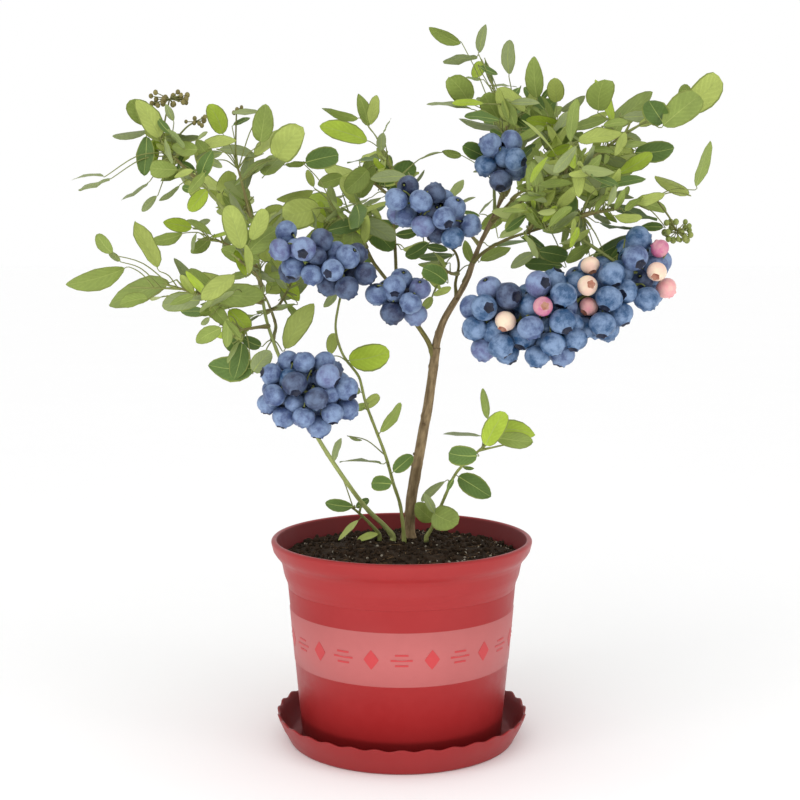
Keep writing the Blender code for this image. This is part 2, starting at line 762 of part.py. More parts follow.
def mass_shoots(spec, stem, rng):
    """The shoots of a mass: the further one turns off the stem, the lower it starts."""
    hub = stem[-1]
    heading = (stem[-1] - stem[-2]).normalized()
    shoots = []
    for offset in shoot_tips(spec, rng):
        turned = heading.angle(offset) / math.pi
        start = point_at(stem, 1.0 - 0.45 * turned)[0]
        reach = hub + offset - start
        leaf = min(rng.uniform(*spec.get("leaf", LEAF_LENGTH)), reach.length * 0.78)
        end = hub + offset - reach.normalized() * leaf
        shoots.append(Shoot([start, end], reach.normalized(), leaf))
    return shoots


def shoot_is_free(way, name, limbs, others, berries):
    """Whether a shoot keeps clear of every limb, berry and other mass."""
    for share in (0.3, 0.45, 0.6, 0.8, 1.0):
        place = point_at(way, share)[0]
        if limbs.clearance(place) < SHOOT_CLEARANCE:
            return False
        if others.clearance(place, leave_out=(name,)) < 2.0 * SHOOT_CLEARANCE:
            return False
        if any((place - b[0]).length < b[1] + SHOOT_CLEARANCE for b in berries):
            return False
    return True


def leaf_is_free(leaf, name, limbs, skeleton, stalks, berries):
    """Whether a leaf stays in its mass's own space: nearer to it than to any other."""
    own = np.array([owner == name for owner in skeleton.owners])
    for place in leaf_points(leaf):
        if limbs.clearance(place) < LEAF_CLEARANCE:
            return False
        if stalks.clearance(place) < LEAF_CLEARANCE:
            return False
        if any((place - b[0]).length < b[1] + LEAF_CLEARANCE for b in berries):
            return False
        distances = skeleton.distances(place)
        if distances[own].min() + OWN_MARGIN > distances[~own].min():
            return False
    return True


def leaf_slots(spec, stem, shoots):
    """Where a mass's leaves may grow: (place, direction there, swing off it, sizes)."""
    size = spec.get("leaf", LEAF_LENGTH)
    slots = []
    for shoot in shoots:
        slots.append((shoot.way[-1], shoot.heading, 0.0, (shoot.leaf, shoot.leaf)))
        count = max(1, round(lengths_along(shoot.way)[-1] / LEAF_SPACING))
        for i in range(count):
            place, along = point_at(shoot.way, 1.0 - (i + 0.4) / (count + 0.2))
            slots.append((place, along, LEAF_SPREAD * (1 if i % 2 else -1), size))
    first, count = spec.get("stem_leaves", STEM_LEAVES)
    for i in range(count):
        place, along = point_at(stem, first + (0.97 - first) * i / max(1, count - 1))
        slots.append((place, along, LEAF_SPREAD * (1 if i % 2 else -1), size))
    return slots


def grow_leaves(slots, rng, is_free):
    """A leaf for each slot, tried a few times over until it lies free."""
    leaves = []
    for place, along, swing, size in slots:
        for _ in range(LEAF_TRIES):
            leaf = draw_leaf(place, along, swing, size, rng)
            if any(crosses(leaf, other) or crosses(other, leaf) for other in leaves):
                continue
            if is_free(leaf):
                leaves.append(leaf)
                break
    return leaves


def leaf_mesh(leaf):
    """A leaf of eight faces: a flattened double pyramid with its root sunk in the twig."""
    bm = bmesh.new()
    bmesh.ops.create_uvsphere(bm, u_segments=4, v_segments=2, radius=1.0)
    wide = leaf.side * leaf.length * LEAF_WIDTH * 0.5
    thick = leaf.out * leaf.length * LEAF_THICKNESS * 0.5
    start = leaf.root - leaf.axis * LEAF_ROOT_DEPTH
    for vertex in bm.verts:
        x, y, z = vertex.co
        share = LEAF_WIDEST + 0.5 * x + (0.5 - LEAF_WIDEST) * x * x
        vertex.co = (start + leaf.axis * leaf.length * share - wide * y + thick * z) * MM
    mesh = bpy.data.meshes.new("leaf")
    bm.to_mesh(mesh)
    bm.free()
    return mesh


def berry_mesh(place, radius):
    """A berry of twenty faces, a little swollen to keep a round berry's bulk."""
    bm = bmesh.new()
    bmesh.ops.create_icosphere(bm, subdivisions=1, radius=radius * BERRY_SWELL * MM)
    bmesh.ops.translate(bm, verts=bm.verts, vec=place * MM)
    mesh = bpy.data.meshes.new("berry")
    bm.to_mesh(mesh)
    bm.free()
    return mesh


def union_of(name, body_mesh, meshes, collection, material):
    """One closed solid of a body and everything that grows on it."""
    body = link_mesh(name, body_mesh, collection, material)
    loose = bpy.data.collections.new(name + "_pieces")
    bpy.context.scene.collection.children.link(loose)
    for i, mesh in enumerate(meshes):
        link_mesh(f"{name}_piece_{i}", mesh, loose)
    apply_boolean(body, "UNION", loose)
    for obj in list(loose.objects):
        bpy.data.objects.remove(obj, do_unlink=True)
    bpy.data.collections.remove(loose)
    return body


def cut_by_carrier(obj, carrier_way, carrier_radii, sides, cutters, section):
    """Cut away what lies inside the carrier, and the gap round it and at its ends."""
    way = list(carrier_way)
    way[0] = way[0] - (way[1] - way[0]).normalized() * GAP
    way[-1] = way[-1] + (way[-1] - way[-2]).normalized() * GAP
    wider = [r + GAP for r in carrier_radii]
    mesh = tube_mesh("cutter", way, wider, sides, cutters, section)
    cutter = link_mesh("cutter", mesh, cutters)
    cutter.hide_render = True
    cutter.display_type = "WIRE"
    apply_boolean(obj, "DIFFERENCE", cutter)
    bpy.data.objects.remove(cutter, do_unlink=True)
    drop_scraps(obj.data)


def finish_solid(obj, material):
    """Keep one body of a solid's mesh after its joins and cuts, and shade it."""
    drop_scraps(obj.data)
    obj.data.materials.clear()
    obj.data.materials.append(material)
    shade_round(obj.data)


def main():
    clear_scene()
    bush = bpy.data.collections.new("blueberry_bush")
    cutters = bpy.data.collections.new("cutters")
    for collection in (bush, cutters):
        bpy.context.scene.collection.children.link(collection)
    section = triangle_section(cutters)
    materials = {name: make_material(name) for name in COLOURS}

    make_saucer(bush, materials["saucer"])
    make_pot(bush, materials["pot"])
    make_soil(bush, materials["soil"])

    ways, radii, sides = {}, {}, {}
    limbs = Lines()
    for name, spec in LIMBS.items():
        ways[name] = way_from(spec["way"], ways.get(spec["parent"]), spec.get("at"))
        radii[name] = taper(ways[name], spec["radii"], spec.get("flare", 0.0))
        sides[name] = spec["sides"]
        limbs.add(name, ways[name], radii[name])
        mesh = tube_mesh(name, ways[name], radii[name], spec["sides"], cutters, section)
        wood = materials["green_stem" if name in GREEN_LIMBS else "wood"]
        obj = link_mesh(name, mesh, bush, wood)
        if spec["parent"] and "at" not in spec:
            for other in [spec["parent"]] + spec.get("also_clear", []):
                cut_by_carrier(obj, ways[other], radii[other], sides[other], cutters, section)
        finish_solid(obj, wood)

    skeleton = Lines()
    for name, spec in MASSES.items():
        ways[name] = way_from(spec["stem"], ways.get(spec["carrier"]), spec["at"])
        radii[name] = taper(ways[name], STEM_RADIUS)
        sides[name] = 3
        skeleton.add(name, ways[name], radii[name])

    berries = []
    for name, spec in FRUIT.items():
        rng = random.Random(name)
        for lobe in spec["lobes"]:
            berries += berry_shell(name, lobe, rng)
    solid_lines = Lines()
    for lines in (limbs, skeleton):
        for start, end, radius, owner in zip(lines.starts, lines.ends, lines.radii, lines.owners):
            solid_lines.add(owner, [start, end], [radius])
    push_apart(berries, solid_lines)

    stalks = Lines()
    for name, spec in FRUIT.items():
        start = point_at(ways[spec["carrier"]], spec["at"])[0]
        places = stalk_places(spec["lobes"], start)
        ways[name] = way_from(places, ways[spec["carrier"]], spec["at"])
        radii[name] = taper(ways[name], STALK_RADIUS)
        stalks.add(name, ways[name], radii[name])
        pieces = []
        for i, (place, radius, owner) in enumerate(berries):
            if owner != name:
                continue
            foot = nearest_on(ways[name], place)
            if (place - foot).length > radius * 0.5:
                stalks.add(name, [foot, place], [PEDICEL_RADIUS])
                pieces.append(tube_mesh("pedicel", [foot, place], [PEDICEL_RADIUS] * 2, 3,
                                        cutters, section))
            pieces.append(berry_mesh(place, radius))
        body = tube_mesh(name, ways[name], radii[name], 3, cutters, section)
        obj = union_of(name, body, pieces, bush, materials["fruit"])
        if spec["at"] < 1.0:
            carrier = spec["carrier"]
            cut_by_carrier(obj, ways[carrier], radii[carrier], sides[carrier], cutters, section)
        finish_solid(obj, materials["fruit"])

    shoots = {}
    draws = {name: random.Random(name) for name in MASSES}
    for name, spec in MASSES.items():
        shoots[name] = []
        for shoot in mass_shoots(spec, ways[name], draws[name]):
            whole = [shoot.way[0], shoot.way[-1] + shoot.heading * shoot.leaf]
            if not shoot_is_free(whole, name, limbs, skeleton, berries):
                continue
            skeleton.add(name, whole, [SHOOT_RADIUS[0]])
            shoots[name].append(shoot)

    leaf_total = 0
    for name, spec in MASSES.items():
        rng = draws[name]
        pieces = []
        for shoot in shoots[name]:
            pieces.append(tube_mesh("shoot", shoot.way, taper(shoot.way, SHOOT_RADIUS), 3,
                                    cutters, section))
        leaves = grow_leaves(
            leaf_slots(spec, ways[name], shoots[name]), rng,
            lambda leaf: leaf_is_free(leaf, name, limbs, skeleton, stalks, berries))
        pieces += [leaf_mesh(leaf) for leaf in leaves]
        leaf_total += len(leaves)
        body = tube_mesh(name, ways[name], radii[name], 3, cutters, section)
        obj = union_of(name, body, pieces, bush, materials["leaf"])
        carrier = spec["carrier"]
        if carrier and spec["at"] < 1.0:
            cut_by_carrier(obj, ways[carrier], radii[carrier], sides[carrier], cutters, section)
        finish_solid(obj, materials["leaf"])

    bpy.data.objects.remove(section, do_unlink=True)
    triangles = 0
    for obj in bush.objects:
        obj.data.calc_loop_triangles()
        triangles += len(obj.data.loop_triangles)
    print(f"{len(bush.objects)} solids, {leaf_total} leaves, {triangles} triangles")


main()
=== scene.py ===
"""A blueberry bush in fruit, in a banded plastic pot that stands in a scalloped saucer.

The solids of the frame are replaced one by one with finer work in the same places. The bush
grows here by the same rule and the same seeds as its solids, and is then carried on to
finer twigs. Sizes and places are written in millimetres, and are turned into metres where a
mesh is made. The front of the pot faces -Y.
"""

import functools
import json
import math
import random
from collections import namedtuple

import bmesh
import bpy
import numpy as np
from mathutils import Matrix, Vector, noise

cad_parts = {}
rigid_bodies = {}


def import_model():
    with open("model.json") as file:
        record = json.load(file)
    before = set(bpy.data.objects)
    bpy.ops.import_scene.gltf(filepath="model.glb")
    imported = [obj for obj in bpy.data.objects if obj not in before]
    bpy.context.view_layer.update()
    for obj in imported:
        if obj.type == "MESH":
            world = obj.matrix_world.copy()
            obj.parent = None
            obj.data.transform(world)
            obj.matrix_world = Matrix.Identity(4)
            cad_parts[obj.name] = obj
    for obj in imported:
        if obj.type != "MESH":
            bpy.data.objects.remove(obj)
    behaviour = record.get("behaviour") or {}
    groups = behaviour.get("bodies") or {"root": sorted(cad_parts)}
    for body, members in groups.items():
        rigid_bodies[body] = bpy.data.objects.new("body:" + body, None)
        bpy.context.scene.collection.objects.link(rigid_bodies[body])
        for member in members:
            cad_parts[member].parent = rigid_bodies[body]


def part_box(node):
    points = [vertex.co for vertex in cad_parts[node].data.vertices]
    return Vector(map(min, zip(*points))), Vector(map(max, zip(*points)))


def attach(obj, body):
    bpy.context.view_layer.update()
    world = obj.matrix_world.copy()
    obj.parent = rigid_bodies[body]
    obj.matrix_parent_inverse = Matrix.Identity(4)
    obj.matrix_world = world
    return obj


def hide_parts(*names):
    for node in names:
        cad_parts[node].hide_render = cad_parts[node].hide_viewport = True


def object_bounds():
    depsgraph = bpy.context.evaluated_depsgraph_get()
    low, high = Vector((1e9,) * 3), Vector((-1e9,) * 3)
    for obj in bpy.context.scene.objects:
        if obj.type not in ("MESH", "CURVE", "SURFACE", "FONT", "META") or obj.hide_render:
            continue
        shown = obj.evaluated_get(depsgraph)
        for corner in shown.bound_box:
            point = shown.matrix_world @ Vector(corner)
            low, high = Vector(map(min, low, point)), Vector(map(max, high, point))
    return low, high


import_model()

bl_info = {
    "name": "Potted blueberry bush",
    "version": (1, 0, 0),
    "blender": (4, 5, 0),
    "location": "3D View > Sidebar > Blueberry Bush",
    "description": "Builds a blueberry bush in fruit with its pot, saucer and soil",
    "category": "Add Mesh",
}

MM = 0.001
SOLID_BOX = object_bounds()

# Where the camera stands, how far it looks down, and its lens; in metres, radians and
# millimetres. The picture is PICTURE pixels wide and high.
EYE = Vector((0.0, -1.193, 0.4255))
EYE_TILT = 0.10376
LENS, SENSOR, PICTURE = 61.62, 36.0, 800
SHIFT = -1.7 / PICTURE
FOCUS = PICTURE * LENS / SENSOR
MIDDLE = PICTURE * (0.5 - SHIFT)

Leaf = namedtuple("Leaf", "root axis side out length")
Shoot = namedtuple("Shoot", "way heading leaf")
Growth = namedtuple("Growth", "ways limbs skeleton stalks berries shoots leaves")

# Points that a smooth way takes between two of its named places, and the straight piece
# that it starts with where it stands on the soil or on a limb's tip
STEPS_PER_SPAN = 2
FINE_STEPS = 4
FOOT_LENGTH = 5.0

# Space kept between neighbouring solids, and between leaves and what they grow past
GAP = 0.3
SHOOT_CLEARANCE = 2.5
LEAF_CLEARANCE = 1.4
OWN_MARGIN = 1.8

# Pot: a rolled lip on a collar, a tapering wall and a raised band
POT_LIP_RADIUS = 115.0
POT_HEIGHT = 180.0
POT_LIP_ROLL = 2.6
POT_FOOT_RADIUS = 88.9
POT_WALL = 2.0
POT_FLOOR = 2.2
POT_TAPER = 0.0855
BAND_LOW = 73.0
BAND_HIGH = 119.0
BAND_RISE = 0.4

# Saucer: a flat foot and a flaring wall with a waved edge
SAUCER_RIM_RADIUS = 110.8
SAUCER_FOOT_RADIUS = 100.3
SAUCER_HEIGHT = 24.0
SAUCER_FLOOR = 2.0
SAUCER_WAVES = 32
WAVE_START = 12.0
WAVE_RISE = 1.0
WAVE_FLARE = 0.5

# Soil: level where the stems come up, and sloping down to the pot. How often a crumb is of
# peat, of drier stuff, pale grit or a fibre
SOIL_TOP = 172.0
SOIL_EDGE = 164.0
SOIL_LEVEL_RADIUS = 44.0
SOIL_REACH = 104.6
CRUMB_SHARES = (58, 26, 8, 8)
FIBRE = 3

# Leaves and twigs
LEAF_LENGTH = (40.0, 56.0)
LEAF_WIDTH = 0.5
LEAF_WIDEST = 0.42
LEAF_SPACING = 12.0
STEM_LEAVES = (0.5, 3)
STEM_LEAVES_END = 0.97
LEAF_SPREAD = 52.0
LEAF_TRIES = 4
BLADE_SPACE = 0.8
STEM_RADIUS = (2.0, 1.6)
SHOOT_RADIUS = 1.2
FACING = (0.0, -0.62, 0.72)
FACING_SPREAD = 0.55

# Fruit
BERRY_RADIUS = (8.9, 10.2)
BERRY_SPACE = 0.5
STALK_RADIUS = (1.7, 1.3)
PEDICEL_RADIUS = 0.7
PUSH_ROUNDS = 80
PUSH_SHARE = 0.52
GOLDEN_ANGLE = math.pi * (3.0 - math.sqrt(5.0))

# Each limb: the limb it leaves, its radius at both ends and its way through the crown. A
# limb that leaves another's side starts on that one's axis; one with a place of 1 goes on
# from the other's tip.
LIMBS = {
    "trunk": dict(
        parent=None, radii=(4.9, 4.2), flare=3.0,
        way=[(6, 30, 172.3), (10, 26, 217), (17, 20, 259), (24, 12, 300), (30, 5, 347)]),
    "bough_right": dict(
        parent="trunk", at=1.0, radii=(4.0, 2.4),
        way=[(35, 2, 367), (41, 0, 379), (50, 0, 394), (58, 2, 409), (63, 6, 424),
             (72, 12, 445), (82, 18, 465), (92, 25, 482)]),
    "bough_left": dict(
        parent="trunk", radii=(3.0, 1.9),
        way=[(29, 7, 336), (23, 2, 352), (12, -6, 369), (-1, -8, 387), (-10, 0, 402),
             (-24, 8, 420), (-32, 14, 436)]),
    "bough_centre": dict(
        parent="bough_right", radii=(2.4, 1.7),
        way=[(48, 0, 391), (47, 10, 403), (50, 14, 418), (47, 17, 430), (38, 20, 438),
             (27, 21, 444), (16, 22, 450)]),
    "bough_low": dict(
        parent="bough_right", radii=(2.6, 1.7),
        way=[(62, 5, 421), (72, -6, 431), (90, -20, 441), (108, -34, 447), (131, -48, 454),
             (150, -58, 460)]),
    "bough_outer": dict(
        parent="bough_right", radii=(2.4, 1.6),
        way=[(78, 16, 457), (90, 10, 464), (104, 4, 473), (124, -2, 486), (142, -10, 497),
             (160, -18, 508)]),
    "bough_back": dict(
        parent="bough_right", radii=(2.4, 1.7),
        way=[(55, 1, 404), (60, 20, 416), (70, 48, 436), (86, 76, 460), (104, 96, 480)]),
    "bough_back_left": dict(
        parent="bough_left", radii=(2.1, 1.6),
        way=[(-6, -4, 395), (-5, 22, 410), (-6, 52, 434), (-8, 80, 462), (-12, 98, 480)]),
    "left_stem": dict(
        parent=None, radii=(2.8, 1.7), flare=0.8,
        way=[(-8, 14, 172.3), (-17, 6, 190), (-31, -5, 206), (-52, -20, 238),
             (-77, -30, 281), (-101, -25, 332), (-117, -8, 372), (-123, 3, 408),
             (-128, 10, 445)]),
    "bough_left_high": dict(
        parent="left_stem", radii=(1.9, 1.5),
        way=[(-126, 7, 430), (-138, 2, 444), (-153, -1, 466), (-166, -3, 482),
             (-178, -5, 494)]),
}

# Each mass of leaves: its carrier and how far along that its stem starts, the way of the
# stem to its hub, and a fan of shoots. Angles are degrees from +X towards +Z, seen from
# the front; reach is the length from the hub to the leaf tips at the fan's two ends, and
# depth how far the tips lie before and behind the hub. A lead shoot reaches further.
MASSES = {
    "leaves_top": dict(
        carrier="bough_right", at=1.0, stem=[(97, 30, 515), (101, 30, 566)],
        fan=(56, 150), reach=(40, 92), count=4, depth=14),
    "leaves_top_low": dict(
        carrier="bough_right", at=0.96, stem=[(88, 14, 502), (90, 2, 538)],
        fan=(22, 172), reach=(58, 72), count=5, depth=16),
    "leaves_upper_right": dict(
        carrier="bough_outer", at=1.0, stem=[(176, -20, 520), (191, -20, 531)],
        fan=(-24, 122), reach=(42, 52), count=4, depth=22, lead=(30, 94)),
    "leaves_right_low": dict(
        carrier="bough_low", at=1.0, stem=[(180, -54, 466), (205, -44, 471)],
        fan=(-42, 112), reach=(40, 38), count=4, depth=20, lead=(46, 76)),
    "leaves_core_high": dict(
        carrier="bough_outer", at=0.6, stem=[(128, 10, 505), (134, 16, 530)],
        fan=(8, 168), reach=(46, 48), count=5, depth=20),
    "leaves_core_low": dict(
        carrier="bough_low", at=0.55, stem=[(112, -48, 458), (116, -54, 468)],
        fan=(-76, 166), reach=(48, 56), count=6, depth=16),
    "leaves_centre_top": dict(
        carrier="bough_centre", at=1.0, stem=[(4, 22, 470), (-12, 20, 508)],
        fan=(86, 192), reach=(58, 50), count=5, depth=16, lead=(4, 64)),
    "leaves_centre": dict(
        carrier="bough_left", at=1.0, stem=[(-44, 18, 450), (-58, 18, 464)],
        fan=(-38, 206), reach=(52, 52), count=6, depth=16),
    "leaves_centre_back": dict(
        carrier="bough_back_left", at=0.55, stem=[(-30, 62, 452), (-46, 68, 466)],
        fan=(-30, 210), reach=(50, 50), count=5, depth=20),
    "leaves_left_inner": dict(
        carrier="left_stem", at=1.0, stem=[(-134, 12, 470), (-143, 15, 504)],
        fan=(-20, 142), reach=(60, 48), count=5, depth=18, lead=(6, 88)),
    "leaves_left_outer": dict(
        carrier="bough_left_high", at=1.0, stem=[(-190, -5, 506), (-201, -5, 517)],
        fan=(28, 262), reach=(44, 52), count=6, depth=14, lead=(196, 86)),
    "leaves_left_mid": dict(
        carrier="left_stem", at=0.81, stem=[(-146, -8, 390), (-172, -16, 394), (-192, -20, 400)],
        fan=(84, 206), reach=(48, 60), count=4, depth=18, lead=(179, 92)),
    "leaves_left_low": dict(
        carrier="left_stem", at=0.74, stem=[(-124, -24, 366), (-138, -35, 364)],
        fan=(142, 262), reach=(48, 44), count=4, depth=14),
    "leaves_left_row": dict(
        carrier="left_stem", at=0.9, stem=[(-140, 14, 430), (-163, 15, 441)],
        fan=(100, 282), reach=(34, 38), count=4, depth=14, lead=(176, 58)),
    "leaves_left_heart": dict(
        carrier="left_stem", at=0.78, stem=[(-108, 16, 384), (-98, 32, 404)],
        fan=(-80, 120), reach=(44, 44), count=5, depth=14),
    "leaves_back_right": dict(
        carrier="bough_back", at=1.0, stem=[(122, 112, 492), (140, 124, 500)],
        fan=(-20, 150), reach=(58, 56), count=5, depth=30, lead=(20, 80)),
    "leaves_back_top": dict(
        carrier="bough_back", at=0.72, stem=[(98, 88, 505), (104, 92, 536)],
        fan=(20, 160), reach=(48, 52), count=5, depth=26),
    "leaves_back_middle": dict(
        carrier="bough_back", at=0.45, stem=[(52, 84, 460), (44, 104, 474)],
        fan=(-60, 200), reach=(46, 46), count=5, depth=26),
    "leaves_back_left": dict(
        carrier="bough_back_left", at=1.0, stem=[(-22, 116, 492), (-32, 130, 500)],
        fan=(-20, 200), reach=(50, 54), count=5, depth=28),
    "leaves_back_far_left": dict(
        carrier="left_stem", at=0.95, stem=[(-132, 50, 452), (-146, 84, 474), (-154, 100, 484)],
        fan=(-30, 220), reach=(52, 54), count=5, depth=26),
    "leaves_back_low_left": dict(
        carrier="left_stem", at=0.7, stem=[(-112, 24, 366), (-122, 60, 384), (-128, 76, 392)],
        fan=(20, 230), reach=(44, 48), count=5, depth=22),
    "leaves_front_left": dict(
        carrier="left_stem", at=0.86, stem=[(-124, -30, 412), (-134, -62, 424)],
        fan=(60, 230), reach=(44, 46), count=5, depth=22),
    "leaves_front_right": dict(
        carrier="bough_outer", at=0.76, stem=[(136, -46, 496), (134, -78, 502)],
        fan=(-10, 190), reach=(46, 48), count=5, depth=22),
    "leaves_front_centre": dict(
        carrier="bough_centre", at=0.3, stem=[(42, -8, 412), (32, -20, 418)],
        fan=(200, 330), reach=(34, 34), count=3, depth=8, leaf=(26, 34)),
    "sprig_middle": dict(
        carrier=None, at=0.0,
        stem=[(2, 8, 172.3), (-1, 5, 206), (-7, 0, 226), (-15, -8, 256), (-31, -12, 299),
              (-37, -14, 323), (-50, -16, 341), (-57, -14, 366), (-52, -8, 395)],
        count=0, stem_leaves=(0.24, 7), leaf=(30, 40)),
    "sprig_right": dict(
        carrier=None, at=0.0,
        stem=[(22, 12, 172.3), (27, 10, 186), (40, 0, 220), (50, -8, 241), (75, -18, 266)],
        fan=(100, 4), reach=(46, 48), count=3, depth=8, stem_leaves=(0.12, 6), leaf=(30, 42)),
    "sprig_base": dict(
        carrier=None, at=0.0,
        stem=[(-20, 18, 172.3), (-24, 14, 184), (-36, 6, 198), (-44, 0, 206)],
        fan=(140, 60), reach=(26, 26), count=2, depth=6, stem_leaves=(0.3, 3), leaf=(24, 32)),
}

# Each fruit cluster: its carrier, and its lobes along the stalk. A lobe is a shell of
# berries round a place on the stalk: its half sizes, its tilt seen from the front, the
# number of berries, and how far they go round to the back, from 0 at the widest to 1.
FRUIT = {
    "fruit_top": dict(
        carrier="bough_right", at=0.86,
        lobes=[dict(centre=(85, -16, 508), half=(12, 9, 15), tilt=0, count=6)]),
    "fruit_centre": dict(
        carrier="bough_centre", at=0.62,
        lobes=[dict(centre=(25, -35, 463), half=(31, 10, 12), tilt=-30, count=11)]),
    "fruit_left": dict(
        carrier="sprig_middle", at=1.0,
        lobes=[dict(centre=(-68, -46, 422), half=(38, 11, 14), tilt=-27, count=11)]),
    "fruit_middle": dict(
        carrier="bough_left", at=0.5,
        lobes=[dict(centre=(-1, -42, 392), half=(18, 9, 13), tilt=-24, count=7)]),
    "fruit_low_left": dict(
        carrier="left_stem", at=0.5,
        lobes=[dict(centre=(-78, -66, 314), half=(34, 18, 27), tilt=-10, count=15)]),
    "fruit_right": dict(
        carrier="bough_low", at=0.8,
        lobes=[dict(centre=(198, -70, 414), half=(20, 14, 26), tilt=0, count=7),
               dict(centre=(158, -76, 393), half=(24, 18, 28), tilt=0, count=11),
               dict(centre=(120, -78, 375), half=(26, 20, 30), tilt=0, count=13),
               dict(centre=(80, -70, 374), half=(24, 18, 26), tilt=0, count=11)]),
}
SHELL_COVER = 0.15

# Finer twigs, leaves and berries that only show here. A twig's foot lies lower on its stem
# the further it reaches, and a stem further back counts as further away. A leaf keeps off
# the berries that show, or stands behind them, and a few narrow ones are turned over.
SIDE_SHOOT_SPACING = 16.0
SIDE_SHOOT_SPREAD = (28.0, 58.0)
SIDE_SHOOT_LENGTH = (8.0, 20.0)
SIDE_LEAF_LENGTH = (26.0, 44.0)
PETIOLE = 0.07
LEAF_ROWS = 8
BACK_BERRY_TRIES = 24
BACK_BERRY_SIZE = 0.94
BACK_BERRY_PACKING = 0.72
DEEP_LEAF = (26.0, 46.0)
DEEP_LEAF_SPACING = 9.0
CORE_LEAF_WIDTH = 0.33
CORE_MASSES = ("leaves_core_high", "leaves_core_low", "leaves_right_low", "leaves_top_low",
               "leaves_upper_right", "leaves_front_right")
THICKET_DENSITY = 0.032
THICKET_LEAF = (20.0, 40.0)
THICKET_REACH = 22.0
TWIG_LEAN = 0.5
DEPTH_WEIGHT = 0.06
BERRY_SHOWN = 1.1
BERRY_BERTH = 1.3
BEHIND_BERRY = 5.0
TURNED_OVER = 0.12
SEEN_DEPTH = 24.0
THICKET_DEPTH = 36.0
COVER_CELL = 2
COVER_SHARE = 0.7
LEAF_DISCS = ((0.2, 0.3), (0.4, 0.55), (0.6, 0.5), (0.8, 0.3))
BLADE_SHOWN = (0.42, 0.6)

# The pot's rounded corners, its ornament, and how far below the lip the painted shade of its
# inside begins
CORNER_ROUND = 2.2
ORNAMENT_RISE = 0.25
INSIDE_SHADE_BELOW_LIP = 0.8

# The green limbs and the stout ones; how thick a limb shows against its solid, at its start
# and its end; and the stubs on the bark, as (limb, place along it, turn, radius, reach)
YOUNG_LIMBS = ("left_stem", "bough_left_high")
STOUT_LIMBS = ("trunk", "bough_right")
GIRTH = {"other": (0.8, 0.7), "trunk": (1.0, 0.98), "bough_right": (0.9, 0.5),
         "bough_centre": (0.6, 0.5), "bough_outer": (0.6, 0.45), "bough_low": (0.6, 0.45),
         "left_stem": (0.8, 0.7)}
STUBS = (("trunk", 0.09, 2.6, 1.6, 9.0), ("trunk", 0.60, 4.6, 1.7, 5.6),
         ("trunk", 0.44, 3.4, 1.4, 5.4), ("bough_right", 0.30, 5.2, 1.3, 4.6))

# How much fuller a ripe berry is than its solid, and how much smaller an unripe one
SWELL = {"other": 1.05, "fruit_right": 1.13}
UNRIPE_SIZE = 0.86

# Radii of stems and twigs as they show, at their start and their end
STEM_SHOWN = (1.7, 1.0)
SHOOT_SHOWN = (1.0, 0.7)
TWIG_SHOWN = (0.75, 0.5)
LONG_STALK = (0.65, 0.4)
LEAF_STALK = (0.55, 0.4)
CLUSTER_STALK = (1.5, 1.0)
BERRY_STALK = (0.75, 0.65)

# The tones of the leaves: fresh, middle, grey, deep and bright
TONE_LETTERS = "fmgdb"

# How often each leaf tone (fresh, middle, grey, deep, bright) is dealt out in a mass, and
# each skin (blue, steel, navy, violet) in a cluster
TONES = {
    "other": (34, 32, 22, 4, 8),
    "leaves_left_low": (20, 24, 8, 48, 0),
    "leaves_centre_top": (26, 30, 26, 18, 0),
    "leaves_core_high": (26, 36, 26, 12, 0),
    "leaves_core_low": (22, 44, 22, 12, 0),
    "leaves_right_low": (26, 42, 26, 6, 0),
    "sprig_right": (16, 34, 4, 26, 20),
    "sprig_middle": (22, 44, 6, 18, 10),
}
SKINS = {
    "other": (56, 12, 14, 18),
    "fruit_right": (12, 76, 8, 4),
    "fruit_left": (50, 0, 30, 20),
}

# Unripe berries of the right cluster, as (x, z, kind): 0 cream, 1 pink, 2 magenta; and how
# far forward they are looked for
UNRIPE = ((156, 423, 0), (91, 377, 0), (115, 381, 2), (144, 387, 1),
          (154, 393, 0), (208, 427, 2), (200, 408, 0), (213, 401, 1))
UNRIPE_DEPTH = -90.0

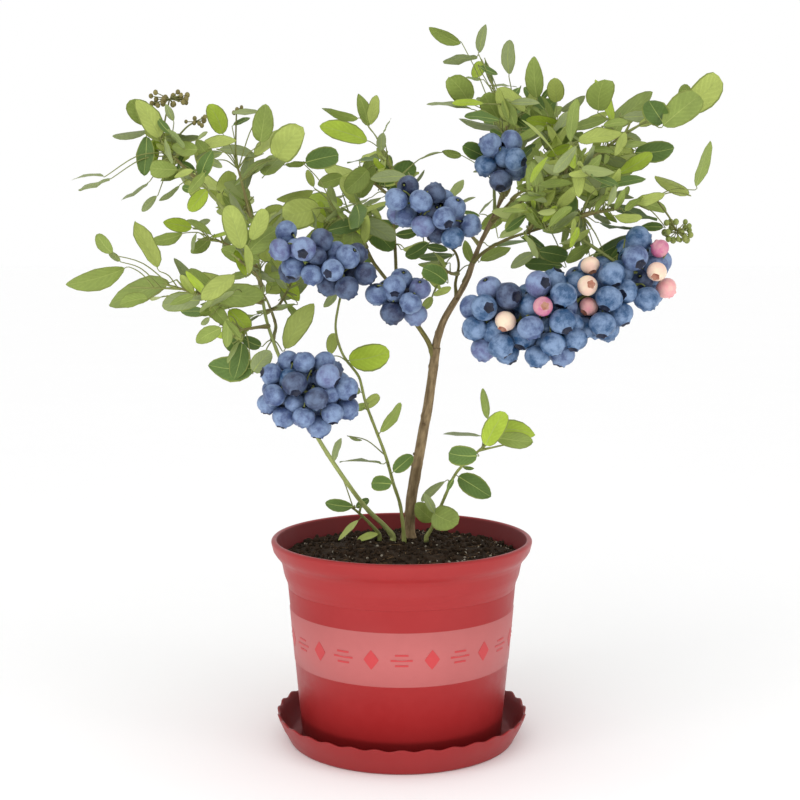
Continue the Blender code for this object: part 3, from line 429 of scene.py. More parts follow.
# The leaves that stand out in the picture, as (root x, root y, tip x, tip y, width, tone),
# in its pixels. A tone is fresh, middle, grey, deep or bright, by its first letter.
SEEN_LEAVES = (
    (463, 45, 429, 27, 14, "m"), (479, 55, 484, 24, 9, "g"), (480, 57, 443, 62, 7, "g"),
    (482, 60, 474, 78, 13, "b"), (478, 66, 498, 74, 7, "d"), (490, 86, 517, 85, 4, "g"),
    (485, 59, 491, 85, 6, "d"), (484, 80, 466, 77, 4, "d"), (470, 103, 450, 78, 25, "m"),
    (475, 110, 427, 101, 6, "g"), (500, 121, 484, 94, 21, "m"), (502, 121, 465, 115, 10, "d"),
    (510, 127, 458, 122, 5, "g"), (509, 77, 509, 40, 14, "g"), (537, 101, 534, 57, 19, "m"),
    (521, 86, 502, 109, 9, "d"), (516, 128, 503, 100, 14, "m"), (546, 121, 513, 104, 12, "m"),
    (557, 104, 554, 78, 18, "f"), (559, 112, 586, 97, 9, "g"), (541, 100, 550, 88, 6, "d"),
    (546, 111, 524, 87, 13, "d"), (484, 156, 463, 146, 17, "d"), (463, 156, 442, 151, 8, "m"),
    (443, 152, 421, 158, 3, "g"), (505, 138, 490, 130, 8, "d"), (489, 168, 473, 172, 3, "g"),
    (598, 113, 604, 80, 28, "m"), (600, 129, 654, 93, 18, "m"), (660, 128, 700, 95, 31, "m"),
    (678, 117, 719, 76, 30, "f"), (664, 124, 649, 101, 25, "d"), (690, 113, 684, 84, 16, "m"),
    (632, 153, 675, 148, 22, "d"), (640, 203, 667, 211, 12, "m"), (575, 142, 622, 134, 14, "f"),
    (606, 136, 641, 140, 10, "g"), (617, 175, 652, 152, 15, "b"), (596, 189, 646, 177, 9, "d"),
    (593, 160, 633, 172, 14, "m"), (695, 190, 711, 141, 12, "m"), (691, 196, 655, 178, 14, "f"),
    (633, 204, 665, 194, 13, "f"), (612, 204, 657, 221, 13, "d"), (595, 222, 636, 229, 5, "d"),
    (608, 191, 634, 200, 8, "g"), (665, 227, 640, 227, 10, "d"), (447, 201, 463, 179, 9, "m"),
    (446, 209, 464, 204, 8, "d"), (479, 214, 494, 198, 4, "g"), (460, 212, 480, 216, 4, "d"),
    (456, 207, 475, 196, 3, "g"), (506, 212, 481, 229, 15, "m"), (478, 262, 511, 247, 13, "m"),
    (566, 266, 524, 265, 14, "d"), (593, 244, 566, 262, 12, "m"), (488, 246, 531, 239, 8, "d"),
    (519, 236, 547, 249, 10, "d"), (498, 238, 522, 228, 9, "m"), (472, 264, 465, 240, 10, "m"),
    (537, 251, 568, 257, 18, "d"), (536, 252, 511, 268, 12, "g"), (590, 258, 634, 236, 18, "d"),
    (608, 262, 630, 244, 12, "d"), (592, 228, 560, 246, 10, "f"), (578, 237, 562, 250, 9, "f"),
    (448, 283, 423, 268, 20, "d"), (455, 254, 419, 258, 7, "d"), (450, 263, 418, 265, 9, "m"),
    (432, 296, 451, 287, 7, "f"), (150, 125, 130, 101, 24, "m"), (152, 129, 113, 139, 6, "g"),
    (147, 134, 143, 175, 17, "d"), (179, 170, 150, 168, 19, "m"), (181, 145, 152, 140, 18, "m"),
    (186, 150, 162, 155, 7, "g"), (172, 135, 158, 119, 9, "d"), (174, 122, 166, 104, 8, "g"),
    (200, 150, 172, 146, 16, "m"), (214, 160, 196, 140, 14, "m"), (224, 136, 209, 104, 20, "b"),
    (261, 112, 232, 112, 7, "g"), (260, 145, 266, 104, 22, "m"), (216, 149, 256, 154, 9, "g"),
    (273, 158, 234, 185, 12, "m"), (275, 160, 301, 129, 31, "f"), (303, 163, 338, 155, 22, "d"),
    (284, 165, 306, 164, 5, "m"), (218, 193, 233, 173, 16, "f"), (216, 189, 251, 223, 29, "f"),
    (208, 188, 189, 211, 16, "b"), (184, 177, 206, 202, 12, "f"), (200, 179, 212, 151, 16, "d"),
    (206, 160, 222, 167, 8, "g"), (197, 173, 179, 162, 9, "d"), (195, 190, 182, 187, 8, "d"),
    (106, 176, 71, 177, 3, "g"), (112, 178, 78, 189, 4, "g"), (150, 181, 122, 201, 3, "g"),
    (181, 184, 159, 201, 4, "g"), (158, 195, 141, 211, 8, "g"), (197, 140, 208, 132, 4, "g"),
    (199, 147, 236, 139, 13, "f"), (232, 126, 250, 117, 6, "d"), (129, 267, 67, 287, 20, "m"),
    (113, 255, 97, 234, 14, "m"), (121, 262, 109, 252, 7, "g"), (159, 271, 135, 221, 16, "f"),
    (174, 281, 109, 305, 25, "m"), (193, 292, 175, 257, 13, "g"), (226, 282, 183, 277, 16, "f"),
    (204, 292, 263, 295, 24, "m"), (203, 300, 162, 306, 20, "g"), (211, 311, 180, 313, 11, "d"),
    (210, 317, 201, 325, 6, "g"), (212, 306, 226, 323, 15, "m"), (228, 308, 248, 331, 20, "b"),
    (223, 327, 196, 342, 16, "m"), (262, 347, 243, 338, 13, "d"), (226, 330, 239, 353, 17, "d"),
    (260, 368, 207, 365, 27, "d"), (252, 373, 271, 351, 18, "g"), (263, 262, 221, 249, 18, "m"),
    (185, 233, 152, 242, 12, "m"), (194, 228, 163, 222, 15, "b"), (193, 229, 210, 220, 7, "g"),
    (212, 236, 191, 253, 13, "m"), (259, 235, 212, 234, 11, "b"), (258, 219, 268, 263, 24, "f"),
    (262, 214, 284, 208, 14, "f"), (268, 261, 271, 283, 11, "f"), (314, 188, 307, 170, 8, "f"),
    (361, 119, 321, 109, 11, "m"), (369, 128, 358, 94, 14, "m"), (369, 127, 378, 95, 12, "f"),
    (371, 142, 320, 125, 21, "b"), (381, 152, 383, 133, 10, "g"), (383, 134, 391, 118, 2, "g"),
    (369, 168, 346, 190, 22, "m"), (386, 158, 347, 162, 6, "d"), (378, 191, 390, 155, 17, "d"),
    (386, 193, 414, 163, 24, "d"), (345, 176, 317, 185, 15, "m"), (316, 190, 277, 202, 12, "f"),
    (323, 208, 284, 217, 32, "f"), (322, 233, 320, 201, 14, "b"), (325, 231, 363, 223, 17, "d"),
    (372, 197, 330, 211, 4, "g"), (385, 196, 352, 214, 6, "g"), (350, 193, 305, 202, 3, "g"),
    (388, 204, 356, 220, 8, "d"), (368, 221, 393, 250, 24, "d"), (366, 229, 400, 225, 14, "d"),
    (394, 235, 419, 231, 10, "d"), (424, 246, 448, 249, 9, "d"), (340, 240, 374, 263, 12, "d"),
    (362, 240, 325, 239, 12, "m"), (430, 242, 405, 257, 14, "d"), (411, 186, 425, 170, 3, "g"),
    (283, 352, 313, 303, 23, "f"), (276, 270, 299, 301, 18, "b"), (298, 304, 256, 311, 7, "m"),
    (337, 290, 324, 308, 9, "g"), (330, 356, 334, 333, 12, "f"), (346, 361, 389, 351, 28, "b"),
    (400, 303, 387, 317, 9, "f"), (433, 296, 423, 309, 9, "f"), (363, 409, 379, 395, 11, "f"),
    (369, 404, 353, 409, 8, "m"), (379, 434, 401, 403, 12, "m"), (392, 473, 413, 455, 15, "d"),
    (393, 484, 371, 483, 16, "d"), (384, 464, 340, 459, 3, "g"), (333, 463, 341, 438, 7, "g"),
    (348, 436, 362, 441, 3, "g"), (355, 507, 325, 503, 13, "d"), (355, 508, 369, 499, 8, "d"),
    (360, 519, 337, 539, 6, "f"), (380, 534, 357, 540, 7, "f"), (488, 421, 483, 388, 10, "m"),
    (484, 448, 505, 412, 22, "b"), (490, 430, 537, 433, 19, "b"), (492, 437, 533, 442, 17, "m"),
    (484, 436, 443, 433, 4, "g"), (479, 456, 448, 453, 21, "d"), (462, 467, 474, 469, 4, "d"),
    (456, 475, 491, 497, 22, "d"), (447, 480, 420, 500, 7, "g"), (454, 478, 447, 491, 6, "d"),
    (434, 521, 416, 505, 18, "m"), (432, 512, 456, 523, 26, "m"),
)

# Where the picture shows foliage and no sky between its leaves, as ellipses of
# (centre x, centre y, half width, half height), in its pixels
THICKETS = (
    (562, 132, 42, 22), (545, 165, 42, 30), (560, 205, 52, 32), (605, 160, 32, 22),
    (520, 222, 38, 16), (588, 242, 34, 11), (610, 211, 28, 10), (592, 188, 36, 20),
    (240, 285, 22, 12), (196, 232, 24, 8), (250, 214, 12, 14), (206, 300, 20, 12),
    (182, 160, 18, 14), (372, 160, 16, 10), (330, 214, 18, 12), (278, 240, 12, 16),
    (640, 148, 26, 10), (520, 118, 26, 12), (166, 143, 18, 12), (200, 150, 20, 12),
    (206, 172, 14, 12), (235, 203, 20, 20), (220, 296, 32, 12), (232, 325, 16, 18),
    (264, 243, 12, 26), (286, 280, 12, 18), (342, 228, 28, 10), (382, 230, 18, 16),
    (394, 176, 18, 16), (356, 177, 14, 12), (348, 245, 18, 10), (412, 250, 14, 7),
    (434, 272, 15, 12), (300, 217, 14, 14), (490, 433, 10, 12), (440, 514, 14, 10),
    (255, 362, 16, 10),
)

# Bud clusters: the mass that carries one, its centre, half sizes, count, bud radius, skin
BUD_CLUSTERS = (
    ("leaves_left_outer", (-198, -4, 560), (16, 7, 6), 26, 2.1, 0),
    ("leaves_left_outer", (-177, -2, 541), (9, 5, 4), 10, 1.8, 0),
    ("leaves_left_inner", (-143, 12, 552), (5, 4, 3), 6, 1.8, 0),
    ("leaves_right_low", (229, -44, 447), (12, 8, 8), 22, 2.4, 1),
)

# The lamps that shine from panels: name, place, turn in degrees, width, height, and power as
# a share of the panels' power
PANELS = (
    ("left_panel", (-1.15, -0.75, 0.65), (84.0, 0.0, -62.0), 0.35, 1.3, 1.0),
    ("right_panel", (1.15, -0.75, 0.65), (84.0, 0.0, 62.0), 0.35, 1.3, 1.0),
    ("low_panel", (0.0, -0.42, 0.03), (92.0, 0.0, 0.0), 1.7, 0.05, 0.75),
)


def wall_radius(height):
    """The pot wall's outer radius at a height above the ground."""
    return POT_FOOT_RADIUS + POT_TAPER * (height - SAUCER_FLOOR)


def curve(points, steps):
    """A Catmull-Rom curve through the points, with as many steps between each two."""
    way = [Vector(p) for p in points]
    ends = [way[0] * 2 - way[1]] + way + [way[-1] * 2 - way[-2]]
    result = []
    for a, b, c, d in zip(ends, ends[1:], ends[2:], ends[3:]):
        for step in range(steps):
            t = step / steps
            result.append(0.5 * ((2 * b) + (c - a) * t + (2 * a - 5 * b + 4 * c - d) * t * t
                                 + (3 * b - a - 3 * c + d) * t ** 3))
    return result + [way[-1]]


def smooth_way(points, straight_start=False):
    """A smooth way through the points, in millimetres, straight at first if asked."""
    if len(points) < 3:
        return [Vector(p) for p in points]
    way = curve(points, STEPS_PER_SPAN)
    return way[:1] + way[STEPS_PER_SPAN:] if straight_start else way


def fine_way(way):
    """A still smoother way through every point of a way."""
    if len(way) < 3:
        return [way[0].lerp(way[1], k / FINE_STEPS) for k in range(FINE_STEPS)] + [way[1]]
    return curve(way, FINE_STEPS)


def lengths_along(way):
    """The distance from the start at every point of a way."""
    total = [0.0]
    for a, b in zip(way, way[1:]):
        total.append(total[-1] + (b - a).length)
    return total


def point_at(way, share):
    """The point and the direction at a share of a way's length."""
    along = lengths_along(way)
    wanted = share * along[-1]
    for i in range(len(way) - 1):
        if along[i + 1] >= wanted - 1e-9:
            span = along[i + 1] - along[i]
            t = (wanted - along[i]) / span
            return way[i].lerp(way[i + 1], t), (way[i + 1] - way[i]).normalized()
    return way[-1].copy(), (way[-1] - way[-2]).normalized()


def taper(way, radii, flare=0.0):
    """A radius for each point: an even taper, with a flare over the first tenth."""
    along = lengths_along(way)
    result = []
    for distance in along:
        share = distance / along[-1]
        root = max(0.0, 1.0 - share / 0.1)
        result.append(radii[0] + (radii[1] - radii[0]) * share + flare * root * root)
    return result


class Lines:
    """Tapering line pieces in space, and how near a point comes to their surface."""

    def __init__(self):
        self.starts, self.ends, self.radii, self.owners = [], [], [], []

    def add(self, owner, way, radii):
        for a, b, r in zip(way, way[1:], radii):
            self.starts.append(tuple(a))
            self.ends.append(tuple(b))
            self.radii.append(r)
            self.owners.append(owner)

    def distances(self, point):
        """The distance from the point to every piece's surface."""
        starts, ends = np.array(self.starts), np.array(self.ends)
        spans = ends - starts
        offset = np.array(point) - starts
        share = np.einsum("ij,ij->i", offset, spans) / np.einsum("ij,ij->i", spans, spans)
        nearest = starts + spans * np.clip(share, 0.0, 1.0)[:, None]
        return np.linalg.norm(np.array(point) - nearest, axis=1) - np.array(self.radii)

    def clearance(self, point, leave_out=()):
        """The distance to the nearest piece whose owner isn't left out."""
        if not self.starts:
            return math.inf
        keep = np.array([owner not in leave_out for owner in self.owners])
        if not keep.any():
            return math.inf
        return float(self.distances(point)[keep].min())


def way_from(points, parent_way=None, share=None):
    """A smooth way up from the soil, on from a parent's tip or out of its side."""
    points = [Vector(p) for p in points]
    if parent_way is None:
        foot = [points[0], points[0] + Vector((0.0, 0.0, FOOT_LENGTH))]
        return smooth_way(foot + points[1:], straight_start=True)
    if share is None:
        return smooth_way(points)
    place, heading = point_at(parent_way, share)
    if share < 1.0:
        return smooth_way([place] + points)
    foot = [place + heading * GAP, place + heading * FOOT_LENGTH]
    return smooth_way(foot + points, straight_start=True)


def berry_shell(name, lobe, rng):
    """Berries set evenly over the front of a shell, as [place, radius, cluster]."""
    centre = Vector(lobe["centre"])
    tilt = math.radians(lobe["tilt"])
    half = lobe["half"]
    berries = []
    for k in range(lobe["count"]):
        forward = 1.0 - (k + 0.5) / lobe["count"] * (1.0 + SHELL_COVER)
        round_about = math.sqrt(1.0 - forward * forward)
        turn = k * GOLDEN_ANGLE
        x = half[0] * round_about * math.cos(turn)
        z = half[2] * round_about * math.sin(turn)
        offset = Vector((x * math.cos(tilt) - z * math.sin(tilt), -half[1] * forward,
                         x * math.sin(tilt) + z * math.cos(tilt)))
        berries.append([centre + offset, rng.uniform(*BERRY_RADIUS), name])
    return berries


def push_apart(berries, solids):
    """Move the berries off each other and off the limbs and stems."""
    for _ in range(PUSH_ROUNDS):
        moved = False
        for i, first in enumerate(berries):
            for second in berries[i + 1:]:
                apart = second[0] - first[0]
                wanted = first[1] + second[1] + BERRY_SPACE
                if apart.length < wanted - 0.01:
                    push = apart.normalized() * (wanted - apart.length) * PUSH_SHARE
                    first[0] -= push
                    second[0] += push
                    moved = True
            room = min(lines.clearance(first[0]) for lines in solids)
            short = first[1] + BERRY_SPACE - room
            if short > 0.0:
                first[0] += Vector((0.0, -1.0, -0.2)).normalized() * short
                moved = True
        if not moved:
            return


def nearest_on(way, place):
    """The point of a way that lies nearest to a place."""
    best = None
    for a, b in zip(way, way[1:]):
        span = b - a
        share = max(0.0, min(1.0, (place - a).dot(span) / span.length_squared))
        point = a + span * share
        if best is None or (point - place).length < (best - place).length:
            best = point
    return best


def stalk_places(lobes, start):
    """The places that a cluster's stalk runs through on its way along its lobes."""
    points = [start]
    for lobe in lobes:
        centre = Vector(lobe["centre"])
        tilt = math.radians(lobe["tilt"])
        reach = Vector((math.cos(tilt), 0, math.sin(tilt))) * lobe["half"][0] * 0.5
        if (centre + reach - points[-1]).length < (centre - reach - points[-1]).length:
            reach = -reach
        points += [centre - reach, centre + reach]
    return points[1:]


def half_width(share, length):
    """Half the width of a leaf at a share of its length."""
    rise = share / LEAF_WIDEST
    fall = (1.0 - share) / (1.0 - LEAF_WIDEST)
    return max(0.0, min(rise, fall)) * LEAF_WIDTH * 0.5 * length


def draw_leaf(place, along, swing, size, rng):
    """A leaf that leaves a twig at a place, swung off the twig's direction."""
    across = Vector(FACING).cross(along).normalized()
    turn = math.radians(swing + rng.uniform(-12.0, 12.0) * (1.0 if swing else 0.5))
    axis = along * math.cos(turn) + across * math.sin(turn)
    if swing:
        axis += Vector((0.0, rng.uniform(-0.35, 0.35), rng.uniform(-0.25, 0.1)))
    axis.normalize()
    facing = Vector(FACING) + Vector([rng.uniform(-FACING_SPREAD, FACING_SPREAD) for _ in "xyz"])
    side = axis.cross(facing).normalized()
    return Leaf(place, axis, side, side.cross(axis).normalized(), rng.uniform(*size))


def leaf_points(leaf):
    """Places on a leaf's rib and edges, past its root."""
    places = []
    for share in (0.2, 0.42, 0.6, 0.8):
        rib = leaf.root + leaf.axis * leaf.length * share
        wide = leaf.side * half_width(share, leaf.length)
        places += [rib, rib + wide, rib - wide]
    places.append(leaf.root + leaf.axis * leaf.length)
    return places


def crosses(first, second):
    """Whether one leaf passes through the other's blade, or lies on it."""
    heights = []
    for place in leaf_points(first):
        offset = place - second.root
        share = offset.dot(second.axis) / second.length
        beside = abs(offset.dot(second.side))
        if 0.0 < share < 1.0 and beside < half_width(share, second.length) + BLADE_SPACE:
            heights.append(offset.dot(second.out))
    return bool(heights) and min(heights) < BLADE_SPACE and max(heights) > -BLADE_SPACE


def shoot_tips(spec, rng):
    """The tips of a mass's shoots from its hub: its fan, and its lead where it has one."""
    tips = []
    for k in range(spec["count"]):
        share = k / max(1, spec["count"] - 1)
        angle = spec["fan"][0] + (spec["fan"][1] - spec["fan"][0]) * share
        reach = spec["reach"][0] + (spec["reach"][1] - spec["reach"][0]) * share
        angle = math.radians(angle + rng.uniform(-5.0, 5.0))
        reach *= rng.uniform(0.92, 1.06)
        side = 1.0 if k % 2 else -1.0
        depth = side * spec["depth"] * rng.uniform(0.4, 1.0)
        tips.append(Vector((math.cos(angle) * reach, depth, math.sin(angle) * reach)))
    if "lead" in spec:
        angle = math.radians(spec["lead"][0])
        reach = spec["lead"][1]
        tips.append(Vector((math.cos(angle) * reach, 0.0, math.sin(angle) * reach)))
    return tips


def mass_shoots(spec, stem, rng):
    """The shoots of a mass: the further one turns off the stem, the lower it starts."""
    hub = stem[-1]
    heading = (stem[-1] - stem[-2]).normalized()
    shoots = []
    for offset in shoot_tips(spec, rng):
        turned = heading.angle(offset) / math.pi
        start = point_at(stem, 1.0 - 0.45 * turned)[0]
        reach = hub + offset - start
        leaf = min(rng.uniform(*spec.get("leaf", LEAF_LENGTH)), reach.length * 0.78)
        end = hub + offset - reach.normalized() * leaf
        shoots.append(Shoot([start, end], reach.normalized(), leaf))
    return shoots


def touches_berry(place, berries, room):
    """Whether a place lies in a berry, or nearer to one than the room asked for."""
    return any((place - b[0]).length < b[1] + room for b in berries)


def shoot_is_free(way, name, growth):
    """Whether a shoot keeps clear of every limb, berry and other mass."""
    for share in (0.3, 0.45, 0.6, 0.8, 1.0):
        place = point_at(way, share)[0]
        if growth.limbs.clearance(place) < SHOOT_CLEARANCE:
            return False
        if growth.skeleton.clearance(place, leave_out=(name,)) < 2.0 * SHOOT_CLEARANCE:
            return False
        if touches_berry(place, growth.berries, SHOOT_CLEARANCE):
            return False
    return True


def leaf_is_free(leaf, name, growth):
    """Whether a leaf stays in its mass's own space: nearer to it than to any other."""
    own = np.array([owner == name for owner in growth.skeleton.owners])
    for place in leaf_points(leaf):
        if growth.limbs.clearance(place) < LEAF_CLEARANCE:
            return False
        if growth.stalks.clearance(place) < LEAF_CLEARANCE:
            return False
        if touches_berry(place, growth.berries, LEAF_CLEARANCE):
            return False
        distances = growth.skeleton.distances(place)
        if distances[own].min() + OWN_MARGIN > distances[~own].min():
            return False
    return True


def is_crossed(leaf, others):
    """Whether a leaf crosses any of some others."""
    return any(crosses(leaf, other) or crosses(other, leaf) for other in others)


def leaf_slots(spec, stem, shoots):
    """Where a mass's leaves may grow: (place, direction there, swing off it, sizes)."""
    size = spec.get("leaf", LEAF_LENGTH)
    slots = []

    def add(place, along, i):
        slots.append((place, along, LEAF_SPREAD * (1 if i % 2 else -1), size))

    for shoot in shoots:
        slots.append((shoot.way[-1], shoot.heading, 0.0, (shoot.leaf, shoot.leaf)))
        count = max(1, round(lengths_along(shoot.way)[-1] / LEAF_SPACING))
        for i in range(count):
            add(*point_at(shoot.way, 1.0 - (i + 0.4) / (count + 0.2)), i)
    first, count = spec.get("stem_leaves", STEM_LEAVES)
    for i in range(count):
        add(*point_at(stem, first + (STEM_LEAVES_END - first) * i / max(1, count - 1)), i)
    return slots


def grow_leaves(slots, rng, is_free):
    """A leaf for each slot, tried a few times over until it lies free."""
    leaves = []
    for place, along, swing, size in slots:
        for _ in range(LEAF_TRIES):
            leaf = draw_leaf(place, along, swing, size, rng)
            if not is_crossed(leaf, leaves) and is_free(leaf):
                leaves.append(leaf)
                break
    return leaves


@functools.cache
def grown():
    """The bush as its solids have it: the ways, the berries, the shoots and the leaves."""
    growth = Growth({}, Lines(), Lines(), Lines(), [], {}, {})
    ways, limbs, skeleton, stalks, berries, shoots, leaves = growth
    for name, spec in LIMBS.items():
        ways[name] = way_from(spec["way"], ways.get(spec["parent"]), spec.get("at"))
        limbs.add(name, ways[name], taper(ways[name], spec["radii"], spec.get("flare", 0.0)))
    for name, spec in MASSES.items():
        ways[name] = way_from(spec["stem"], ways.get(spec["carrier"]), spec["at"])
        skeleton.add(name, ways[name], taper(ways[name], STEM_RADIUS))

    for name, spec in FRUIT.items():
        rng = random.Random(name)
        for lobe in spec["lobes"]:
            berries += berry_shell(name, lobe, rng)
    push_apart(berries, (limbs, skeleton))

    for name, spec in FRUIT.items():
        carrier = ways[spec["carrier"]]
        places = stalk_places(spec["lobes"], point_at(carrier, spec["at"])[0])
        ways[name] = way_from(places, carrier, spec["at"])
        stalks.add(name, ways[name], taper(ways[name], STALK_RADIUS))
        for place, radius, owner in berries:
            foot = nearest_on(ways[name], place)
            if owner == name and (place - foot).length > radius * 0.5:
                stalks.add(name, [foot, place], [PEDICEL_RADIUS])

    draws = {name: random.Random(name) for name in MASSES}
    for name, spec in MASSES.items():
        shoots[name] = []
        for shoot in mass_shoots(spec, ways[name], draws[name]):
            whole = [shoot.way[0], shoot.way[-1] + shoot.heading * shoot.leaf]
            if shoot_is_free(whole, name, growth):
                skeleton.add(name, whole, [SHOOT_RADIUS])
                shoots[name].append(shoot)
    for name, spec in MASSES.items():
        slots = leaf_slots(spec, ways[name], shoots[name])
        leaves[name] = grow_leaves(slots, draws[name],
                                   lambda leaf: leaf_is_free(leaf, name, growth))
    return growth


def sight(place):
    """The pixel at which the camera sees a point given in millimetres."""
    offset = Vector(place) * MM - EYE
    depth = offset.y * math.cos(EYE_TILT) - offset.z * math.sin(EYE_TILT)
    height = offset.y * math.sin(EYE_TILT) + offset.z * math.cos(EYE_TILT)
    return MIDDLE + FOCUS * offset.x / depth, PICTURE * 0.5 - FOCUS * height / depth


def seen_at(x, y, depth):
    """The point in millimetres that shows at a pixel, depth behind the pot's axis."""
    right, up = (x - MIDDLE) / FOCUS, (PICTURE * 0.5 - y) / FOCUS
    ray = Vector((right, math.cos(EYE_TILT) + up * math.sin(EYE_TILT),
                  up * math.cos(EYE_TILT) - math.sin(EYE_TILT)))
    return (EYE + ray * (depth * MM - EYE.y) / ray.y) / MM


@functools.cache
def cover():
    """Where the picture shows leaves or fruit, as cells of COVER_CELL pixels."""
    middles = (np.arange(PICTURE // COVER_CELL) + 0.5) * COVER_CELL
    across, down = np.meshgrid(middles, middles)
    discs = list(THICKETS)
    for x0, y0, x1, y1, width, _ in SEEN_LEAVES:
        for share, wide in LEAF_DISCS:
            reach = width * wide + 2.0
            discs.append((x0 + (x1 - x0) * share, y0 + (y1 - y0) * share, reach, reach))
    for x, y, _, radius in shown_berries():
        discs.append((x, y, radius * 0.9, radius * 0.9))
    held = np.zeros(across.shape, bool)
    for x, y, wide, high in discs:
        held |= ((across - x) / wide) ** 2 + ((down - y) / high) ** 2 < 1.0
    return held


def shows_growth(x, y):
    """Whether the picture shows leaves or fruit at a pixel."""
    return bool(cover()[int(y / COVER_CELL), int(x / COVER_CELL)])


def is_covered(places):
    """Whether enough of some places lie where the picture shows leaves or fruit."""
    return sum(shows_growth(*sight(place)) for place in places) >= COVER_SHARE * len(places)


@functools.cache
def shown_berries():
    """Where each berry shows in the picture: (x, y, depth of its back, radius in mm)."""
    return [(*sight(place), place.y + radius, radius) for place, radius, _ in grown().berries]


def hides_fruit(leaf):
    """Whether a leaf lies before a berry that the picture shows."""
    for place in blade_places(leaf):
        x, y = sight(place)
        if any(place.y < back and math.hypot(x - u, y - v) < BERRY_SHOWN * radius
               for u, v, back, radius in shown_berries()):
            return True
    return False


def thicket_leaves(shown, rng):
    """Smaller leaves that fill the picture's thickets, as rows like those of SEEN_LEAVES."""
    rows = []
    ahead = np.gradient(shown, axis=0)
    for x, y, wide, high in THICKETS:
        for _ in range(round(wide * high * THICKET_DENSITY)):
            turn, out = rng.uniform(0.0, 2.0 * math.pi), math.sqrt(rng.random())
            spot = (x + wide * out * math.cos(turn), y + high * out * math.sin(turn))
            far = np.hypot(shown[:, 0] - spot[0], shown[:, 1] - spot[1])
            nearest = int(np.argmin(far))
            foot, along = shown[nearest], ahead[nearest]
            heading = math.atan2(along[1], along[0]) + rng.choice((-1, 1)) * rng.uniform(0.2, 1.1)
            length = rng.uniform(*THICKET_LEAF)
            if far[nearest] > THICKET_REACH:
                continue
            start = foot + (np.array(spot) - foot) * 0.6
            tip = start + length * np.array((math.cos(heading), math.sin(heading)))
            if all(shows_growth(*spot) for spot in (start, (start + tip) * 0.5, tip)):
                rows.append((*start, *tip, length * rng.uniform(0.2, 0.38),
                             rng.choices(TONE_LETTERS, TONES["other"])[0]))
    return rows


def seen_leaves(lines, rng):
    """The leaves that stand out in the picture: (leaf, twig, width share, tone)."""
    samples, first = [], []
    for line in lines:
        start = len(samples)
        samples += [Vector(spot) for spot in evenly(line, [1.0] * len(line), 2.0)[0]]
        first += [start] * (len(samples) - start)
    shown = np.array([sight(spot) for spot in samples])
    depths = np.array([spot.y for spot in samples])
    result = []
    rows = list(SEEN_LEAVES) + thicket_leaves(shown, rng)
    for order, (x0, y0, x1, y1, width, tone) in enumerate(rows):
        far = np.hypot(shown[:, 0] - x0, shown[:, 1] - y0) + DEPTH_WEIGHT * depths
        nearest = int(np.argmin(far))
        steps = round(TWIG_LEAN * math.hypot(shown[nearest, 0] - x0, shown[nearest, 1] - y0))
        foot = samples[max(first[nearest], nearest - steps)]
        spread = SEEN_DEPTH if order < len(SEEN_LEAVES) else THICKET_DEPTH
        depth = foot.y + rng.uniform(-spread, spread)
        for x, y, back, radius in shown_berries():
            if any(math.hypot(x0 + (x1 - x0) * k - x, y0 + (y1 - y0) * k - y)
                   < BERRY_BERTH * radius for k in (0.0, 0.4, 0.7, 1.0)):
                depth = max(depth, back + BEHIND_BERRY)
        root = seen_at(x0, y0, depth)
        flat = seen_at(x1, y1, depth) - root
        wide = width * flat.length / math.hypot(x1 - x0, y1 - y0)
        low, high = BLADE_SHOWN
        swing = rng.uniform(-0.4, 0.4) * flat.length
        if wide > high * flat.length:
            swing = -math.sqrt((wide / high) ** 2 - flat.length ** 2)
        reach = seen_at(x1, y1, depth + swing) - root
        share = max(wide / reach.length, low)
        axis = reach.normalized()
        view = EYE / MM - root
        out = (view - axis * view.dot(axis)).normalized()
        side = axis.cross(out)
        roll = math.acos(min(1.0, wide / (share * reach.length))) * rng.choice((-1.0, 1.0))
        side = side * math.cos(roll) + out * math.sin(roll)
        if rng.random() < TURNED_OVER and wide < 0.4 * flat.length:
            side = -side
        leaf = Leaf(root, axis, side, side.cross(axis), reach.length)
        bend = foot.lerp(root, 0.5) + Vector((0.0, 0.0, 0.12 * (foot - root).length))
        result.append((leaf, [foot, bend, root], share, TONE_LETTERS.index(tone)))
    return result


@functools.cache
def reach_of(name):
    """The lowest and the highest corner of a mass's solid, in millimetres."""
    return [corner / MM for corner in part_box(name)]


def is_within(name, place, past):
    """Whether a place lies in the reach of a mass's solid, or not far past it."""
    low, high = reach_of(name)
    return all(low[i] - past < place[i] < high[i] + past for i in range(3))


def side_shoots(name, growth, rng):
    """Finer twigs off a mass's shoots, kept inside the reach of the mass's solid."""
    shoots = []
    for shoot in growth.shoots[name]:
        length = lengths_along(shoot.way)[-1]
        for k in range(max(1, round(length / SIDE_SHOOT_SPACING))):
            start, along = point_at(shoot.way, rng.uniform(0.25, 0.95))
            across = Vector(FACING).cross(along).normalized()
            turn = math.radians(rng.uniform(*SIDE_SHOOT_SPREAD)) * (1 if k % 2 else -1)
            heading = along * math.cos(turn) + across * math.sin(turn)
            heading += Vector(FACING) * rng.uniform(-0.7, 0.7)
            heading.normalize()
            leaf = rng.uniform(*SIDE_LEAF_LENGTH)
            end = start + heading * rng.uniform(*SIDE_SHOOT_LENGTH)
            tip = end + heading * leaf
            if is_within(name, tip, 4.0) and shoot_is_free([start, tip], name, growth):
                shoots.append(Shoot([start, end], heading, leaf))
    return shoots


